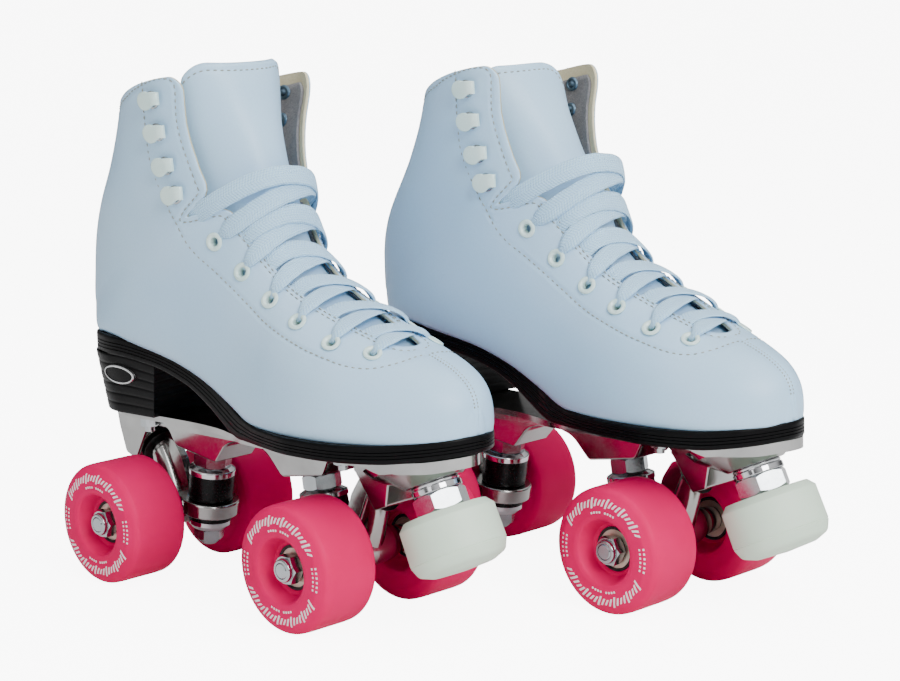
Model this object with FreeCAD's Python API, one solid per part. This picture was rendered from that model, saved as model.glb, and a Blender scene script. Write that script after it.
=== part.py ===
# Pair of quad roller skates: laced boots on cast plates.
# Millimetres, +Z up, +X towards the toes, +Y to the wearer's left, ground at Z = 0.
# Each skate is modelled about its own wheelbase centre and the boot as a right one, so its
# lateral side is -Y. The pair's origin is on the ground at the middle of its bounding box.
import FreeCAD, Part
import math, os

V = FreeCAD.Vector
ORIGIN, UP, ACROSS = V(0, 0, 0), V(0, 0, 1), V(0, 1, 0)

# ---------------------------------------------------------------- driving dimensions
SKATE_DX, SKATE_DY = 96.2, 118.2    # left skate's lead over and distance beside the right one
SKATE_X_MIN, SKATE_X_MAX = -114.8, 154.8    # one skate's reach about its wheelbase centre

WHEEL_R = 31.0
WHEEL_HALF_W = 17.7
WHEEL_EDGE_R = 5.5                  # rounding between tread and face
TRACK_HALF = 37.0                   # skate's centre plane to wheel's centre plane
WHEELBASE = 140.0
BEARING_OD, BEARING_ID, BEARING_W = 22.0, 8.0, 7.0
BEARING_GAP_HALF = 1.7              # half the distance between a wheel's two bearings
AXLE_R = BEARING_ID / 2
AXLE_HALF_LEN = 54.2
HANGER_END = 28.25                  # half length of the hanger's beam

KINGPIN_X, KINGPIN_Z = 42.0, 55.0   # a point on the kingpin axis
KINGPIN_TILT = 8.5                  # degrees, the lower end leans away from the wheelbase centre
KINGPIN_R = 4.76
KINGPIN_Z_END, KINGPIN_Z_TOP = 14.6, 78.5
STEER_ANGLE = 33.5                  # degrees the steering axis rises, away from the centre
RING_R, RING_T, RING_BORE_R = 14.9, 7.8, 7.0
RING_Z = 35.0                       # height of the hanger ring's centre
CUSHION_R = 11.7
CUSHION_BORE_R = 5.1
JAM_NUT_Z, JAM_NUT_AF, JAM_NUT_H = 63.6, 17.0, 7.2      # Z is the nut's top
LOCK_NUT_Z, LOCK_NUT_AF = 23.0, 13.6
CUP_WASHER_T, RETAINER_H = 1.75, 3.3
STACK_GAP = 0.05                    # between neighbours on the kingpin
PIVOT_CUP_R, PIVOT_PIN_R = 8.0, 5.2

PLATE_TOP, FLANGE_T = 83.0, 3.0
PLATE_BOTTOM = PLATE_TOP - FLANGE_T
MOUNT_X, MOUNT_Y, MOUNT_BOLT_R = 73.0, 15.0, 2.5
STOP_X, STOP_Z, STOP_LEAN = 120.0, 68.0, 24.6   # toe stop axis: a point, degrees from vertical
STOP_STEM_R, STOP_PAD_R = 7.9, 23.5
STOP_NUT_AF, STOP_NUT_H = 23.0, 8.5

NUT_CLEAR, PIN_CLEAR, BOLT_CLEAR = 0.02, 0.04, 0.1      # radial clearances
MOUNT_HOLE_R = MOUNT_BOLT_R + BOLT_CLEAR
STOP_HOLE_R = STOP_STEM_R + BOLT_CLEAR

# Depths below the boot's outer skin
LEATHER_T = 2.2
LINING_OUTER, LINING_INNER = 2.35, 4.0
TONGUE_OUTER, TONGUE_INNER = 4.6, 8.0

REAR, FRONT = -1, 1                 # which way a truck faces along X
MOUNTS = [(sx * MOUNT_X, sy * MOUNT_Y) for sx in (REAR, FRONT) for sy in (-1, 1)]


# ---------------------------------------------------------------- helpers
def unit(vector):
    result = V(vector)
    result.normalize()
    return result


def along(shape, at, axis):
    """Place a shape modelled on the Z axis so that Z lies along the axis."""
    placed = shape.copy()
    placed.Placement = FreeCAD.Placement(at, FreeCAD.Rotation(UP, axis))
    return placed


def cyl(at, axis, radius, length):
    return Part.makeCylinder(radius, length, at, axis)


def rounded(profile, to_3d):
    """Closed wire through 2-D corners; a third value is that corner's rounding radius."""
    corners = [(q[0], q[1], q[2] if len(q) > 2 else 0) for q in profile]
    count = len(corners)
    bends = []                      # start, arc's middle and end at each corner
    for i, (x, y, radius) in enumerate(corners):
        if radius <= 0:
            bends.append(((x, y), None, (x, y)))
            continue
        before, after = corners[i - 1], corners[(i + 1) % count]
        ax, ay, bx, by = before[0] - x, before[1] - y, after[0] - x, after[1] - y
        len_a, len_b = math.hypot(ax, ay), math.hypot(bx, by)
        ax, ay, bx, by = ax / len_a, ay / len_a, bx / len_b, by / len_b
        half = math.acos(max(-1, min(1, ax * bx + ay * by))) / 2
        # shorten the rounding where a side is too short for it
        reach = min(radius / math.tan(half), 0.49 * len_a, 0.49 * len_b)
        start, end = (x + ax * reach, y + ay * reach), (x + bx * reach, y + by * reach)
        dx, dy = (start[0] + end[0]) / 2 - x, (start[1] + end[1]) / 2 - y
        arc_r = reach * math.tan(half)
        scale = (math.hypot(arc_r, reach) - arc_r) / math.hypot(dx, dy)
        bends.append((start, (x + dx * scale, y + dy * scale), end))
    edges = []
    for i, (start, middle, end) in enumerate(bends):
        if middle:
            edges.append(Part.Arc(to_3d(*start), to_3d(*middle), to_3d(*end)).toShape())
        following = bends[(i + 1) % count][0]
        if math.hypot(end[0] - following[0], end[1] - following[1]) > 1e-6:
            edges.append(Part.makeLine(to_3d(*end), to_3d(*following)))
    return Part.Wire(edges)


def turned(profile, at=ORIGIN, axis=UP):
    """Solid of revolution from (radius, height[, rounding]) corners."""
    wire = rounded(profile, lambda a, b: V(a, 0, b))
    return along(Part.Face(wire).revolve(ORIGIN, UP, 360), at, axis)


def sleeve(inner_r, outer_r, start, end, at, axis):
    return turned([(inner_r, start), (outer_r, start), (outer_r, end), (inner_r, end)], at, axis)


def slab_y(profile, half, centre=0.0):
    """Side profile of (x, z[, rounding]) corners, extruded both ways in Y."""
    wire = rounded(profile, lambda a, b: V(a, centre - half, b))
    return Part.Face(wire).extrude(V(0, 2 * half, 0))


def facing(sx, profile):
    """Side profile turned to the front or rear."""
    return [(sx * q[0],) + tuple(q[1:]) for q in profile]


def closed_polygon(points):
    return Part.makePolygon(points + [points[0]])


def outline_prism(points, height):
    """Prism on the smooth closed curve through level points."""
    curve = Part.BSplineCurve()
    curve.interpolate(points, PeriodicFlag=True)
    return Part.Face(Part.Wire([curve.toShape()])).extrude(V(0, 0, height))


def side_line_prism(line, close_z, half):
    """Prism in Y between a smooth side line of (x, z) points and a level."""
    points = [V(x, -half, z) for x, z in line]
    curve = Part.BSplineCurve()
    curve.interpolate(points)
    a, b = V(line[-1][0], -half, close_z), V(line[0][0], -half, close_z)
    wire = Part.Wire([curve.toShape(), Part.makeLine(points[-1], a), Part.makeLine(a, b),
                      Part.makeLine(b, points[0])])
    return Part.Face(wire).extrude(V(0, 2 * half, 0))


def offset_loop(loop, distance):
    """Move each point square to the chord between its neighbours, right of the travel."""
    moved = []
    for i, (x, y) in enumerate(loop):
        (ax, ay), (bx, by) = loop[i - 1], loop[(i + 1) % len(loop)]
        tx, ty = bx - ax, by - ay
        length = math.hypot(tx, ty)
        moved.append((x + ty / length * distance, y - tx / length * distance))
    return moved


def hexagon(across_flats, height):
    """Chamfered hexagon standing on the origin along Z."""
    corner = across_flats / math.sqrt(3)
    angles = [math.radians(60 * i) for i in range(6)]
    points = [V(corner * math.cos(a), corner * math.sin(a), 0) for a in angles]
    prism = Part.Face(closed_polygon(points)).extrude(V(0, 0, height))
    drop = (corner - across_flats / 2) * 0.62
    flat_r, wide_r = across_flats / 2 * 1.01, corner + .01
    return prism.common(turned([(0, 0), (flat_r, 0), (wide_r, drop), (wide_r, height - drop),
                                (flat_r, height), (0, height)]))


def collar_hexagon(across_flats, hex_h, collar_from, total_h, collar_round):
    """Hexagon with a round collar on its far end."""
    collar = turned([(0, collar_from), (5.9, collar_from), (5.4, total_h, collar_round),
                     (0, total_h)])
    return hexagon(across_flats, hex_h).fuse(collar).removeSplitter()


def group(shapes):
    """Separate solids that share one node."""
    return Part.makeCompound([solid for shape in shapes for solid in shape.Solids])


def largest(shape):
    return max(shape.Solids, key=lambda solid: solid.Volume)


def soften(shape, edges, radius):
    # Guards against a rounding the kernel can't build: the shape then stays sharp.
    try:
        result = shape.makeFillet(radius, edges)
        if result.isValid() and result.Volume > 0.5 * shape.Volume:
            return result
    except Exception:
        pass
    return shape


def smooth(table, x):
    """Value at x on a cubic through (x, value) rows that doesn't overshoot them."""
    if x <= table[0][0]:
        return table[0][1]
    if x >= table[-1][0]:
        return table[-1][1]
    i = 0
    while table[i + 1][0] < x:
        i += 1

    def chord(j):
        return (table[j + 1][1] - table[j][1]) / (table[j + 1][0] - table[j][0])

    def slope(j):
        if j == 0:
            return chord(0)
        if j == len(table) - 1:
            return chord(j - 1)
        before, after = chord(j - 1), chord(j)
        return 0.0 if before * after <= 0 else 2 * before * after / (before + after)

    (x0, y0), (x1, y1) = table[i], table[i + 1]
    step = x1 - x0
    t = (x - x0) / step
    return ((2 * t**3 - 3 * t**2 + 1) * y0 + (t**3 - 2 * t**2 + t) * step * slope(i)
            + (-2 * t**3 + 3 * t**2) * y1 + (t**3 - t**2) * step * slope(i + 1))


# ---------------------------------------------------------------- boot form
# Sole plan along the outsole's top edge: x, lateral y, medial y.
SOLE_PLAN = [
    (-114.6, 0, 0), (-113.3, -8.5, 8.5), (-109.9, -16, 16), (-104, -22.4, 22.4),
    (-95, -27.6, 27.6), (-79, -31, 31), (-50, -29.5, 29.5), (-30, -29, 28), (-12, -29.5, 28),
    (6, -31, 29.5), (23, -34, 33), (40, -38, 37.5), (59, -42, 41.5), (72, -42.3, 43),
    (84, -41.5, 44), (96, -39, 43), (107, -34.5, 40.5), (118, -28, 36.5), (128, -21, 30.5),
    (135, -15, 24), (140, -9.5, 17.5), (143.5, -3, 10.5), (145, 4, 4)]
# Outsole side lines: x, z.
SOLE_TOP = [
    (-124, 122.6), (-100, 124), (-80, 124), (-50, 120.7), (-31, 117), (-12, 111), (6, 103),
    (23, 94.8), (34, 92.2), (46, 91.6), (80, 91.6), (110, 92), (130, 93.5), (148, 96)]
SOLE_BOTTOM = [
    (-124, 113), (-100, 114), (-80, 114), (-51.5, 111.3), (-24.7, 104.3), (-6.4, 95.4),
    (4.3, 88.8), (12, 84.8), (19, 83.1), (30, 83.08), (80, 83.05), (112, 83.1), (130, 84.6),
    (148, 87.4)]
# Top edge of the cuff: x, z.
CUFF_LINE = [(-95, 236), (-80, 238.2), (-72, 241), (-60, 245.8), (-48, 250.6), (-32, 255.3),
             (-14, 258.2), (2, 259), (30, 259)]

# Boot rings from toe to cuff, each in a plane that holds the Y direction. Columns: x and z of
# the bottom or back point (None: just below the outsole's top line), x and z of the top or
# front point, half width, foot share (1 foot section, 0 shaft section), medial shift.
RINGS = [
    (142.8, None, 142.9, 106.5, 5.2, 1, 4.2), (141, None, 141.6, 112.2, 11, 1, 4.3),
    (137, None, 137.5, 117.6, 17, 1, 4.5), (129, None, 129.3, 123.2, 24.3, 1, 4.6),
    (118, None, 118.3, 127.8, 31, 1, 4.2), (105, None, 105.3, 132, 36.5, 1, 3.2),
    (88, None, 89, 138.5, 40.5, 1, 1.8), (68, None, 71.5, 146, 41.3, 1, 0.8),
    (48, None, 55, 154, 39.5, 1, 0.2), (28, None, 42, 163, 36.3, 1, 0),
    (8, None, 34, 172, 33.8, 1, 0), (-14, None, 30.5, 181, 32.8, 1, 0),
    (-40, None, 29, 189.5, 33.2, 1, 0), (-70, None, 28.4, 197, 34.2, .9, 0),
    (-95, None, 27.8, 204, 34.8, .6, 0), (-107.5, None, 27.0, 209, 35, .3, 0),
    (-114.6, 133, 25.5, 215, 35.2, 0, 0), (-112.8, 152, 23.5, 222, 35.6, 0, 0),
    (-108.4, 171, 21, 230, 36.4, 0, 0), (-101, 188, 18.5, 238, 37.6, 0, 0),
    (-89.5, 207, 15.5, 246, 39, 0, 0), (-80, 226, 13, 254, 40.4, 0, 0),
    (-72.5, 248, 9.5, 261, 41.2, 0, 0), (-68.5, 264, 7, 270.5, 41.6, 0, 0)]
LAST_RING = len(RINGS) - 1          # above the cuff's edge
INSOLE_LAST_RING = 15
RING_DROP = 1.0                     # foot rings start this far below the outsole's top line

# Half sections: across as a share of the half width, along as a share of the ring's length.
FOOT = [(0, 0), (.55, 0), (.90, 0), (.985, .02), (1.03, .15), (1.01, .38), (.93, .62),
        (.73, .85), (.40, 1.0), (0, 1.02)]
SHAFT = [(0, 0), (.27, 0), (.53, .035), (.77, .13), (.95, .30), (1.03, .50), (1.01, .70),
         (.86, .87), (.48, 1.0), (0, 1.01)]
TONGUE_SHAFT = [(0, 0), (.27, 0), (.53, .035), (.77, .13), (.95, .30), (1.0, .50), (.95, .68),
                (.79, .85), (.43, .985), (0, 1.01)]
POLES = 2 * (len(FOOT) - 1)         # round a full ring
# How far an inset goes backwards instead of inwards, at each of the first rings.
TOE_PUSH = [1.0, .9, .7, .42, .2, .08, 0]


def ring_frame(ring, rings=RINGS):
    """Ring values at a fractional ring index, by a cubic through the neighbours."""
    first = max(0, min(len(rings) - 2, int(math.floor(ring))))
    t = ring - first

    def row(j):
        x_low, z_low, *rest = rings[max(0, min(len(rings) - 1, j))]
        if z_low is None:
            z_low = smooth(SOLE_TOP, x_low) - RING_DROP
        return (x_low, z_low, *rest)

    if t == 0:
        return row(first)
    rows = [row(first + k) for k in (-1, 0, 1, 2)]
    return tuple(0.5 * (2 * b + (c - a) * t + (2 * a - 5 * b + 4 * c - d) * t * t
                        + (3 * b - a - 3 * c + d) * t**3) for a, b, c, d in zip(*rows))


def ring_poles(ring, inset=0.0, rings=RINGS, shaft=SHAFT):
    """Control points round a ring, from the bottom centre up the medial side."""
    x_low, z_low, x_high, z_high, half_w, foot, shift = ring_frame(ring, rings)
    foot = max(0.0, min(1.0, foot))
    length = math.hypot(x_high - x_low, z_high - z_low)
    half = [((foot * a[0] + (1 - foot) * b[0]) * half_w, (foot * a[1] + (1 - foot) * b[1]) * length)
            for a, b in zip(FOOT, shaft)]
    loop = half + [(-across, up) for across, up in half[-2:0:-1]]
    push = 0.0
    if inset:
        share = 0.0
        if ring < len(TOE_PUSH) - 1:
            i = int(ring)
            share = TOE_PUSH[i] + (TOE_PUSH[i + 1] - TOE_PUSH[i]) * (ring - i)
        push = inset * share
        loop = offset_loop(loop, -inset * math.sqrt(max(0.0, 1 - share * share)))
    ex, ez = (x_high - x_low) / length, (z_high - z_low) / length
    return [V(x_low + up * ex - push, shift + across, z_low + up * ez) for across, up in loop]


def skin(ring, around):
    """Point on the boot's outer skin; around counts poles from the bottom centre."""
    poles = ring_poles(ring)
    i = int(math.floor(around))
    s = around - i
    a, b, c, d = [poles[(i + k - 1) % POLES] for k in range(4)]
    return (a * ((1 - s)**3 / 6) + b * ((3 * s**3 - 6 * s * s + 4) / 6)
            + c * ((-3 * s**3 + 3 * s * s + 3 * s + 1) / 6) + d * (s**3 / 6))


def skin_normal(ring, around):
    """Unit normal of the skin, pointing away from the boot's middle line."""
    step = 0.02
    along_boot = skin(ring + step, around) - skin(ring - step, around)
    round_ring = skin(ring, around + step) - skin(ring, around - step)
    normal = unit(round_ring.cross(along_boot))
    point = skin(ring, around)
    inside = V(point.x * .5 - 10, 0, point.z - 6)
    return normal if normal.dot(point - inside) > 0 else normal * -1


def width_at(ring, around):
    """Distance of the skin from the ring's middle."""
    return abs(skin(ring, around).y - ring_frame(ring)[6])


def around_for_y(ring, y):
    """Position on a ring's upper half where the skin is y from its middle (-: lateral)."""
    top = POLES / 2
    near, far = (top, top + 4) if y < 0 else (top, top - 4)
    for _ in range(40):
        middle = (near + far) / 2
        if width_at(ring, middle) < abs(y):
            near = middle
        else:
            far = middle
    return (near + far) / 2


def form(inset, last=LAST_RING, rings=RINGS, shaft=SHAFT):
    """Closed solid skinned through rings 0 to last."""
    nets = [ring_poles(float(i), inset, rings, shaft) for i in range(last + 1)]
    params = [0.0]
    for net, following in zip(nets, nets[1:]):
        gap = sum((p - q).Length for p, q in zip(net, following)) / POLES
        params.append(params[-1] + gap)
    rows = []
    for j in range(POLES):
        row = Part.BSplineCurve()
        row.interpolate(Points=[net[j] for net in nets], Parameters=params)
        rows.append(row)
    columns = [row.getPoles() for row in rows]
    poles = [list(across) for across in zip(*columns)]
    surface = Part.BSplineSurface()
    surface.buildFromPolesMultsKnots(
        poles, rows[0].getMultiplicities(), [1] * (POLES + 1), rows[0].getKnots(),
        [float(i) for i in range(POLES + 1)], False, True, 3, 3)
    faces = [surface.toShape()]
    for end in (params[0], params[-1]):
        faces.append(Part.Face(Part.Wire([surface.uIso(end).toShape()])))
    shell = Part.makeCompound(faces)
    shell.sewShape()
    solid = Part.Solid(shell.Shells[0])
    if solid.Volume < 0:
        solid.reverse()
    return solid


def lid(inset):
    """Carries a cavity on past the last ring."""
    x_low, z_low, x_high, z_high = ring_frame(LAST_RING)[:4]
    normal = unit(V(-(z_high - z_low), 0, x_high - x_low))
    curve = Part.BSplineCurve()
    curve.buildFromPolesMultsKnots(ring_poles(float(LAST_RING), inset), [1] * (POLES + 1),
                                   [float(i) for i in range(POLES + 1)], True, 3)
    return Part.Face(Part.Wire([curve.toShape()])).extrude(normal * 8)


def under(table, raise_z):
    """Everything below a side line raised by raise_z."""
    x_from, x_to, steps = -135.0, 160.0, 60
    xs = [x_from + (x_to - x_from) * i / steps for i in range(steps + 1)]
    return side_line_prism([(x, smooth(table, x) + raise_z) for x in xs], 60.0, 70.0)


def above_cuff(raise_z):
    """Everything above the cuff's edge raised by raise_z."""
    return side_line_prism([(x, z + raise_z) for x, z in CUFF_LINE], 300, 80)


def cavity(inset):
    """Room inside the boot, open at the cuff, with its floor the inset above the outsole."""
    return form(inset).fuse(lid(inset)).cut(under(SOLE_TOP, inset))


def sole_prism(inset):
    """Upright prism on the sole plan moved inwards."""
    medial = [(x, m) for x, _, m in SOLE_PLAN[:-1]]
    lateral = [(x, l) for x, l, _ in SOLE_PLAN[1:]]
    loop = offset_loop(medial + lateral[::-1], inset)
    return outline_prism([V(x, y, 60) for x, y in loop], 80)


def mount_holes(radius, length):
    return [cyl(V(x, y, 60), UP, radius, length) for x, y in MOUNTS]


# ---------------------------------------------------------------- boot openings and fixings
# Throat slot from near the toe to the eyestay's top corner: ring, half width.
THROAT = [(5.02, 2.5), (5.10, 7.0), (5.36, 10.8), (6.35, 14.6), (7.65, 17.6), (8.9, 18.7),
          (10.4, 20.2), (12.3, 23.2), (14.0, 26.6), (14.8, 28)]
# Strip of the form that the tongue is taken from: ring, half width.
TONGUE_TRIM = [(5.5, 17), (7, 21), (10, 25), (13, 27), (17, 29), (20, 30), (23, 30.5)]
# Edge of the cuff flap and its notch, down to the eyestay: x, z, rounding.
FLAP_EDGE = [
    (-44, 275, 0), (-24, 259.4, 8), (-12, 258, 8), (-6.6, 253.5, 5), (-6.2, 246, 12),
    (-6.2, 233, 12), (-5, 222, 12), (-2.8, 213, 12), (0.2, 205.5, 4), (0.4, 200.5, 4),
    (-2.2, 196.4, 4), (-8.6, 192.6, 3), (-11, 190.2, 1.6), (-9, 188.6, 1.6), (-4, 189.6, 4),
    (6, 192.4, 0), (45, 200, 0)]
NOTCH_BOTTOM = 12                   # first flap edge point on the eyestay's side of the notch
# Lateral eyelets and hooks, repeated on the medial side: ring, position round it.
EYELETS = [(13.05, 11.5), (11.05, 11.4), (9.15, 11.03), (7.78, 10.85), (6.53, 10.8),
           (5.42, 10.4)]
HOOKS = [(21.3, 12.45), (19.9, 12.3), (18.3, 12.1), (16.9, 11.95)]
# Front line of the tongue for each boot: x by ring.
TONGUE_FRONT = {
    "right": {12: 28.6, 13: 27.2, 14: 25.6, 15: 23.8, 16: 21.6, 17: 19, 18: 16.4, 19: 13.8,
              20: 11.2, 21: 8.8, 22: 6.4, 23: 4.2},
    "left": {11: 29.6, 12: 27.4, 13: 24.8, 14: 21.8, 15: 18.2, 16: 14, 17: 9.6, 18: 5.2,
             19: 0.8, 20: -3.4, 21: -7.4, 22: -11, 23: -14.2}}
TONGUE_TOP = {"right": 264.2, "left": 256.8}

EYELET_HOLE_R, HOOK_HOLE_R = 2.75, 1.6
EYELET_SEAT_R, EYELET_SEAT_DEPTH = 4.75, 0.45
HOOK_SEAT_R, HOOK_SEAT_DEPTH = 6.6, 0.5
HEAD_HOLE_R = 4.8                   # lining's holes round the mounting bolts' heads
LINING_SETBACK = 1.2                # lining's edges behind the upper's
LINING_THROAT_EXTRA = 1.5
# Eyelet: radius, height from the skin.
EYELET = [(2.0, -4.2), (2.6, -4.2), (2.6, -.4), (4.5, -.4), (4.5, .25), (3.9, .8), (2.7, .8),
          (2.0, .2)]
# Heel ends: z, half width, rear x, front x.
HEEL_BASE = (PLATE_TOP + .05, 26.2, -109.4, -56.5)
HEEL_TOP = (120, 31.2, -115.8, -47)
LACE_LIFT, LACE_HALF_W, LACE_T = 1.6, 4.2, 1.2
LACE_SHORT = 6.5                    # lace ends short of the eyelets by this
LACE_RISE = 0.75                    # rings climbed from the lateral to the medial end


def throat_slot(widths, low, high):
    """Lofted slot; low and high are shares of the way up each ring."""
    wires = []
    for ring, half_w in widths:
        x_low, z_low, x_high, z_high, _, _, shift = ring_frame(ring)
        corners = ((-half_w, low), (half_w, low), (half_w, high), (-half_w, high))
        wires.append(closed_polygon([
            V(x_low + (x_high - x_low) * share, shift + y, z_low + (z_high - z_low) * share)
            for y, share in corners]))
    return Part.makeLoft(wires, True, True)


def flap_cut(setback=0.0):
    """Everything in front of the cuff flaps and above the eyestays."""
    edge = [(x - setback, z - setback * (i >= NOTCH_BOTTOM), radius)
            for i, (x, z, radius) in enumerate(FLAP_EDGE)]
    return slab_y(edge + [(90, 200), (90, 275)], 80)


def fixing_sites(table):
    """Skin points and outward normals on both sides."""
    return [(skin(ring, at), skin_normal(ring, at))
            for ring, around in table for at in (around, POLES - around)]


def fixing_hole(point, normal, radius):
    return cyl(point - normal * 12, normal, radius, 14)


def boot_upper():
    upper = form(0).cut(cavity(LEATHER_T))
    upper = upper.cut([under(SOLE_TOP, 0.05), throat_slot(THROAT, .72, 1.22), flap_cut(),
                       above_cuff(0)])
    tools = []
    for table, seat_depth, seat_r, hole_r in (
            (EYELETS, EYELET_SEAT_DEPTH, EYELET_SEAT_R, EYELET_HOLE_R),
            (HOOKS, HOOK_SEAT_DEPTH, HOOK_SEAT_R, HOOK_HOLE_R)):
        for point, normal in fixing_sites(table):
            tools += [cyl(point - normal * seat_depth, normal, seat_r, 6),
                      fixing_hole(point, normal, hole_r)]
    return largest(upper.cut(tools + mount_holes(MOUNT_HOLE_R, 70)))


def boot_lining():
    """Thin shell just inside the leather, cut back a little at its edges."""
    wide = throat_slot([(ring, half_w + LINING_THROAT_EXTRA) for ring, half_w in THROAT],
                       .70, 1.22)
    lining = form(LINING_OUTER).cut(cavity(LINING_INNER))
    lining = lining.cut([under(SOLE_TOP, LINING_OUTER), wide, flap_cut(LINING_SETBACK),
                         above_cuff(-LINING_SETBACK)])
    tools = [fixing_hole(*site, EYELET_HOLE_R) for site in fixing_sites(EYELETS)]
    tools += [fixing_hole(*site, HOOK_HOLE_R) for site in fixing_sites(HOOKS)]
    return largest(lining.cut(tools + mount_holes(HEAD_HOLE_R, 75)))


def tongue(side):
    """Padded tongue under the eyestays."""
    front = TONGUE_FRONT[side]
    rings = [r[:2] + (front.get(i, r[2]),) + r[3:] for i, r in enumerate(RINGS)]
    outer = form(TONGUE_OUTER, rings=rings, shaft=TONGUE_SHAFT)
    inner = form(TONGUE_INNER, rings=rings, shaft=TONGUE_SHAFT)
    top = TONGUE_TOP[side]
    front_view = rounded([(-60, 60), (60, 60), (60, 200), (32, 200), (29, top, 13),
                          (-29, top, 13), (-32, 200), (-60, 200)], lambda y, z: V(-100, y, z))
    strip = outer.cut(inner).common(throat_slot(TONGUE_TRIM, .60, 1.15))
    return largest(strip.common(Part.Face(front_view).extrude(V(300, 0, 0))))


def insole():
    body = form(LINING_INNER + .3, INSOLE_LAST_RING)
    body = body.common(under(SOLE_TOP, LINING_INNER + 3.2))
    return largest(body.cut(under(SOLE_TOP, LINING_INNER + .15)))


def outsole():
    sole = sole_prism(0).common(under(SOLE_TOP, 0)).cut(under(SOLE_BOTTOM, 0))
    return largest(sole.cut(mount_holes(MOUNT_HOLE_R, 90)))


def heel_section(z, half_w, rear_x, front_x):
    """Level section: round at the back, with a slightly hollow front."""
    steps = 16
    points = []
    for i in range(steps + 1):
        angle = math.pi * i / steps
        points.append(V(rear_x + half_w * (1 - math.sin(angle)), -half_w * math.cos(angle), z))
    back = Part.BSplineCurve()
    back.interpolate(points)
    right, left = V(front_x, -half_w + 1.2, z), V(front_x, half_w - 1.2, z)
    hollow = Part.Arc(left, V(front_x - 3.0, 0, z), right).toShape()
    return Part.Wire([back.toShape(), Part.makeLine(points[-1], left), hollow,
                      Part.makeLine(right, points[0])])


def heel():
    """Heel block, tapering towards the plate."""
    body = Part.makeLoft([heel_section(*HEEL_BASE), heel_section(*HEEL_TOP)], True, True)
    body = body.common(under(SOLE_BOTTOM, -.05)).common(sole_prism(.25))
    return largest(body.cut(mount_holes(MOUNT_HOLE_R, 90)))


def lace_hook(point, normal):
    """Base disc, rivet and a plate on a neck near the plate's rear end."""
    forward = unit(V(normal.y, -normal.x, 0))
    if forward.x < 0:
        forward = forward * -1

    def box(length, height, depth, at):
        """Box centred on a point, its sides along forward, up and the normal."""
        matrix = FreeCAD.Matrix(forward.x, UP.x, normal.x, at.x, forward.y, UP.y, normal.y, at.y,
                                forward.z, UP.z, normal.z, at.z, 0, 0, 0, 1)
        body = Part.makeBox(length, height, depth, V(-length / 2, -height / 2, 0))
        return body.transformGeometry(matrix)

    base = cyl(point - normal * .45, normal, 6.2, 1.2)
    rivet = cyl(point - normal * 4.6, normal, 1.5, 5.4)
    neck = box(3.0, 7.0, 4.4, point - forward * 4.0 + normal * .3)
    head = box(12.0, 8.0, 1.3, point + normal * 4.1)
    return base.fuse([rivet, neck, head]).removeSplitter()


def lace_strip(eyelet_ring, eyelet_around):
    """Flat crossing over the throat, from one lateral eyelet up to the medial side."""
    half_span = width_at(eyelet_ring, eyelet_around) - LACE_SHORT
    steps = 6
    wires = []
    for i in range(steps + 1):
        share = i / steps
        y = (-1 + 2 * share) * half_span
        y = y if abs(y) > .01 else .01
        ring = eyelet_ring + LACE_RISE * share
        around = around_for_y(ring, y)
        point, normal = skin(ring, around), skin_normal(ring, around)
        wide = unit(skin(ring + .25, around) - point) * LACE_HALF_W
        base, thick = point + normal * LACE_LIFT, normal * LACE_T
        wires.append(closed_polygon([base - wide, base + wide, base + wide + thick,
                                     base - wide + thick]))
    return Part.makeLoft(wires, True, True)


def boot_parts():
    """Boot pieces that are alike on both skates."""
    return {
        "boot_upper": boot_upper(),
        "boot_lining": boot_lining(),
        "insole": insole(),
        "outsole": outsole(),
        "heel": heel(),
        "eyelets": group([turned(EYELET, *site) for site in fixing_sites(EYELETS)]),
        "lace_hooks": group([lace_hook(*site) for site in fixing_sites(HOOKS)]),
        "lace": group([lace_strip(*eyelet) for eyelet in EYELETS])}


# ---------------------------------------------------------------- hardware axes
TILT = math.radians(KINGPIN_TILT)
STEER = math.radians(STEER_ANGLE)
LEAN = math.radians(STOP_LEAN)
STOP_DIR = V(math.sin(LEAN), 0, -math.cos(LEAN))


def kingpin_dir(sx):
    """Downward direction of a truck's kingpin."""
    return V(sx * math.sin(TILT), 0, -math.cos(TILT))


def on_kingpin(sx, z):
    down = kingpin_dir(sx)
    return V(sx * KINGPIN_X + down.x * (KINGPIN_Z - z) / -down.z, 0, z)


def steer_dir(sx):
    return V(sx * math.cos(STEER), 0, math.sin(STEER))


def axle_centre(sx):
    return V(sx * WHEELBASE / 2, 0, WHEEL_R)


def stop_at(distance):
    """Point on the toe stop's axis, measured downwards."""
    return V(STOP_X, 0, STOP_Z) + STOP_DIR * distance


# ---------------------------------------------------------------- plate
# Half plan of the flange: x, y.
PLATE_PLAN = [
    (-103, 0), (-102.2, 6), (-99, 13), (-94, 18), (-86, 20), (-58, 20), (-22, 20), (-4, 23),
    (12, 28), (32, 30), (70, 30.5), (100, 28), (118, 24), (130, 18), (138, 11), (142, 5),
    (143, 0)]
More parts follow.
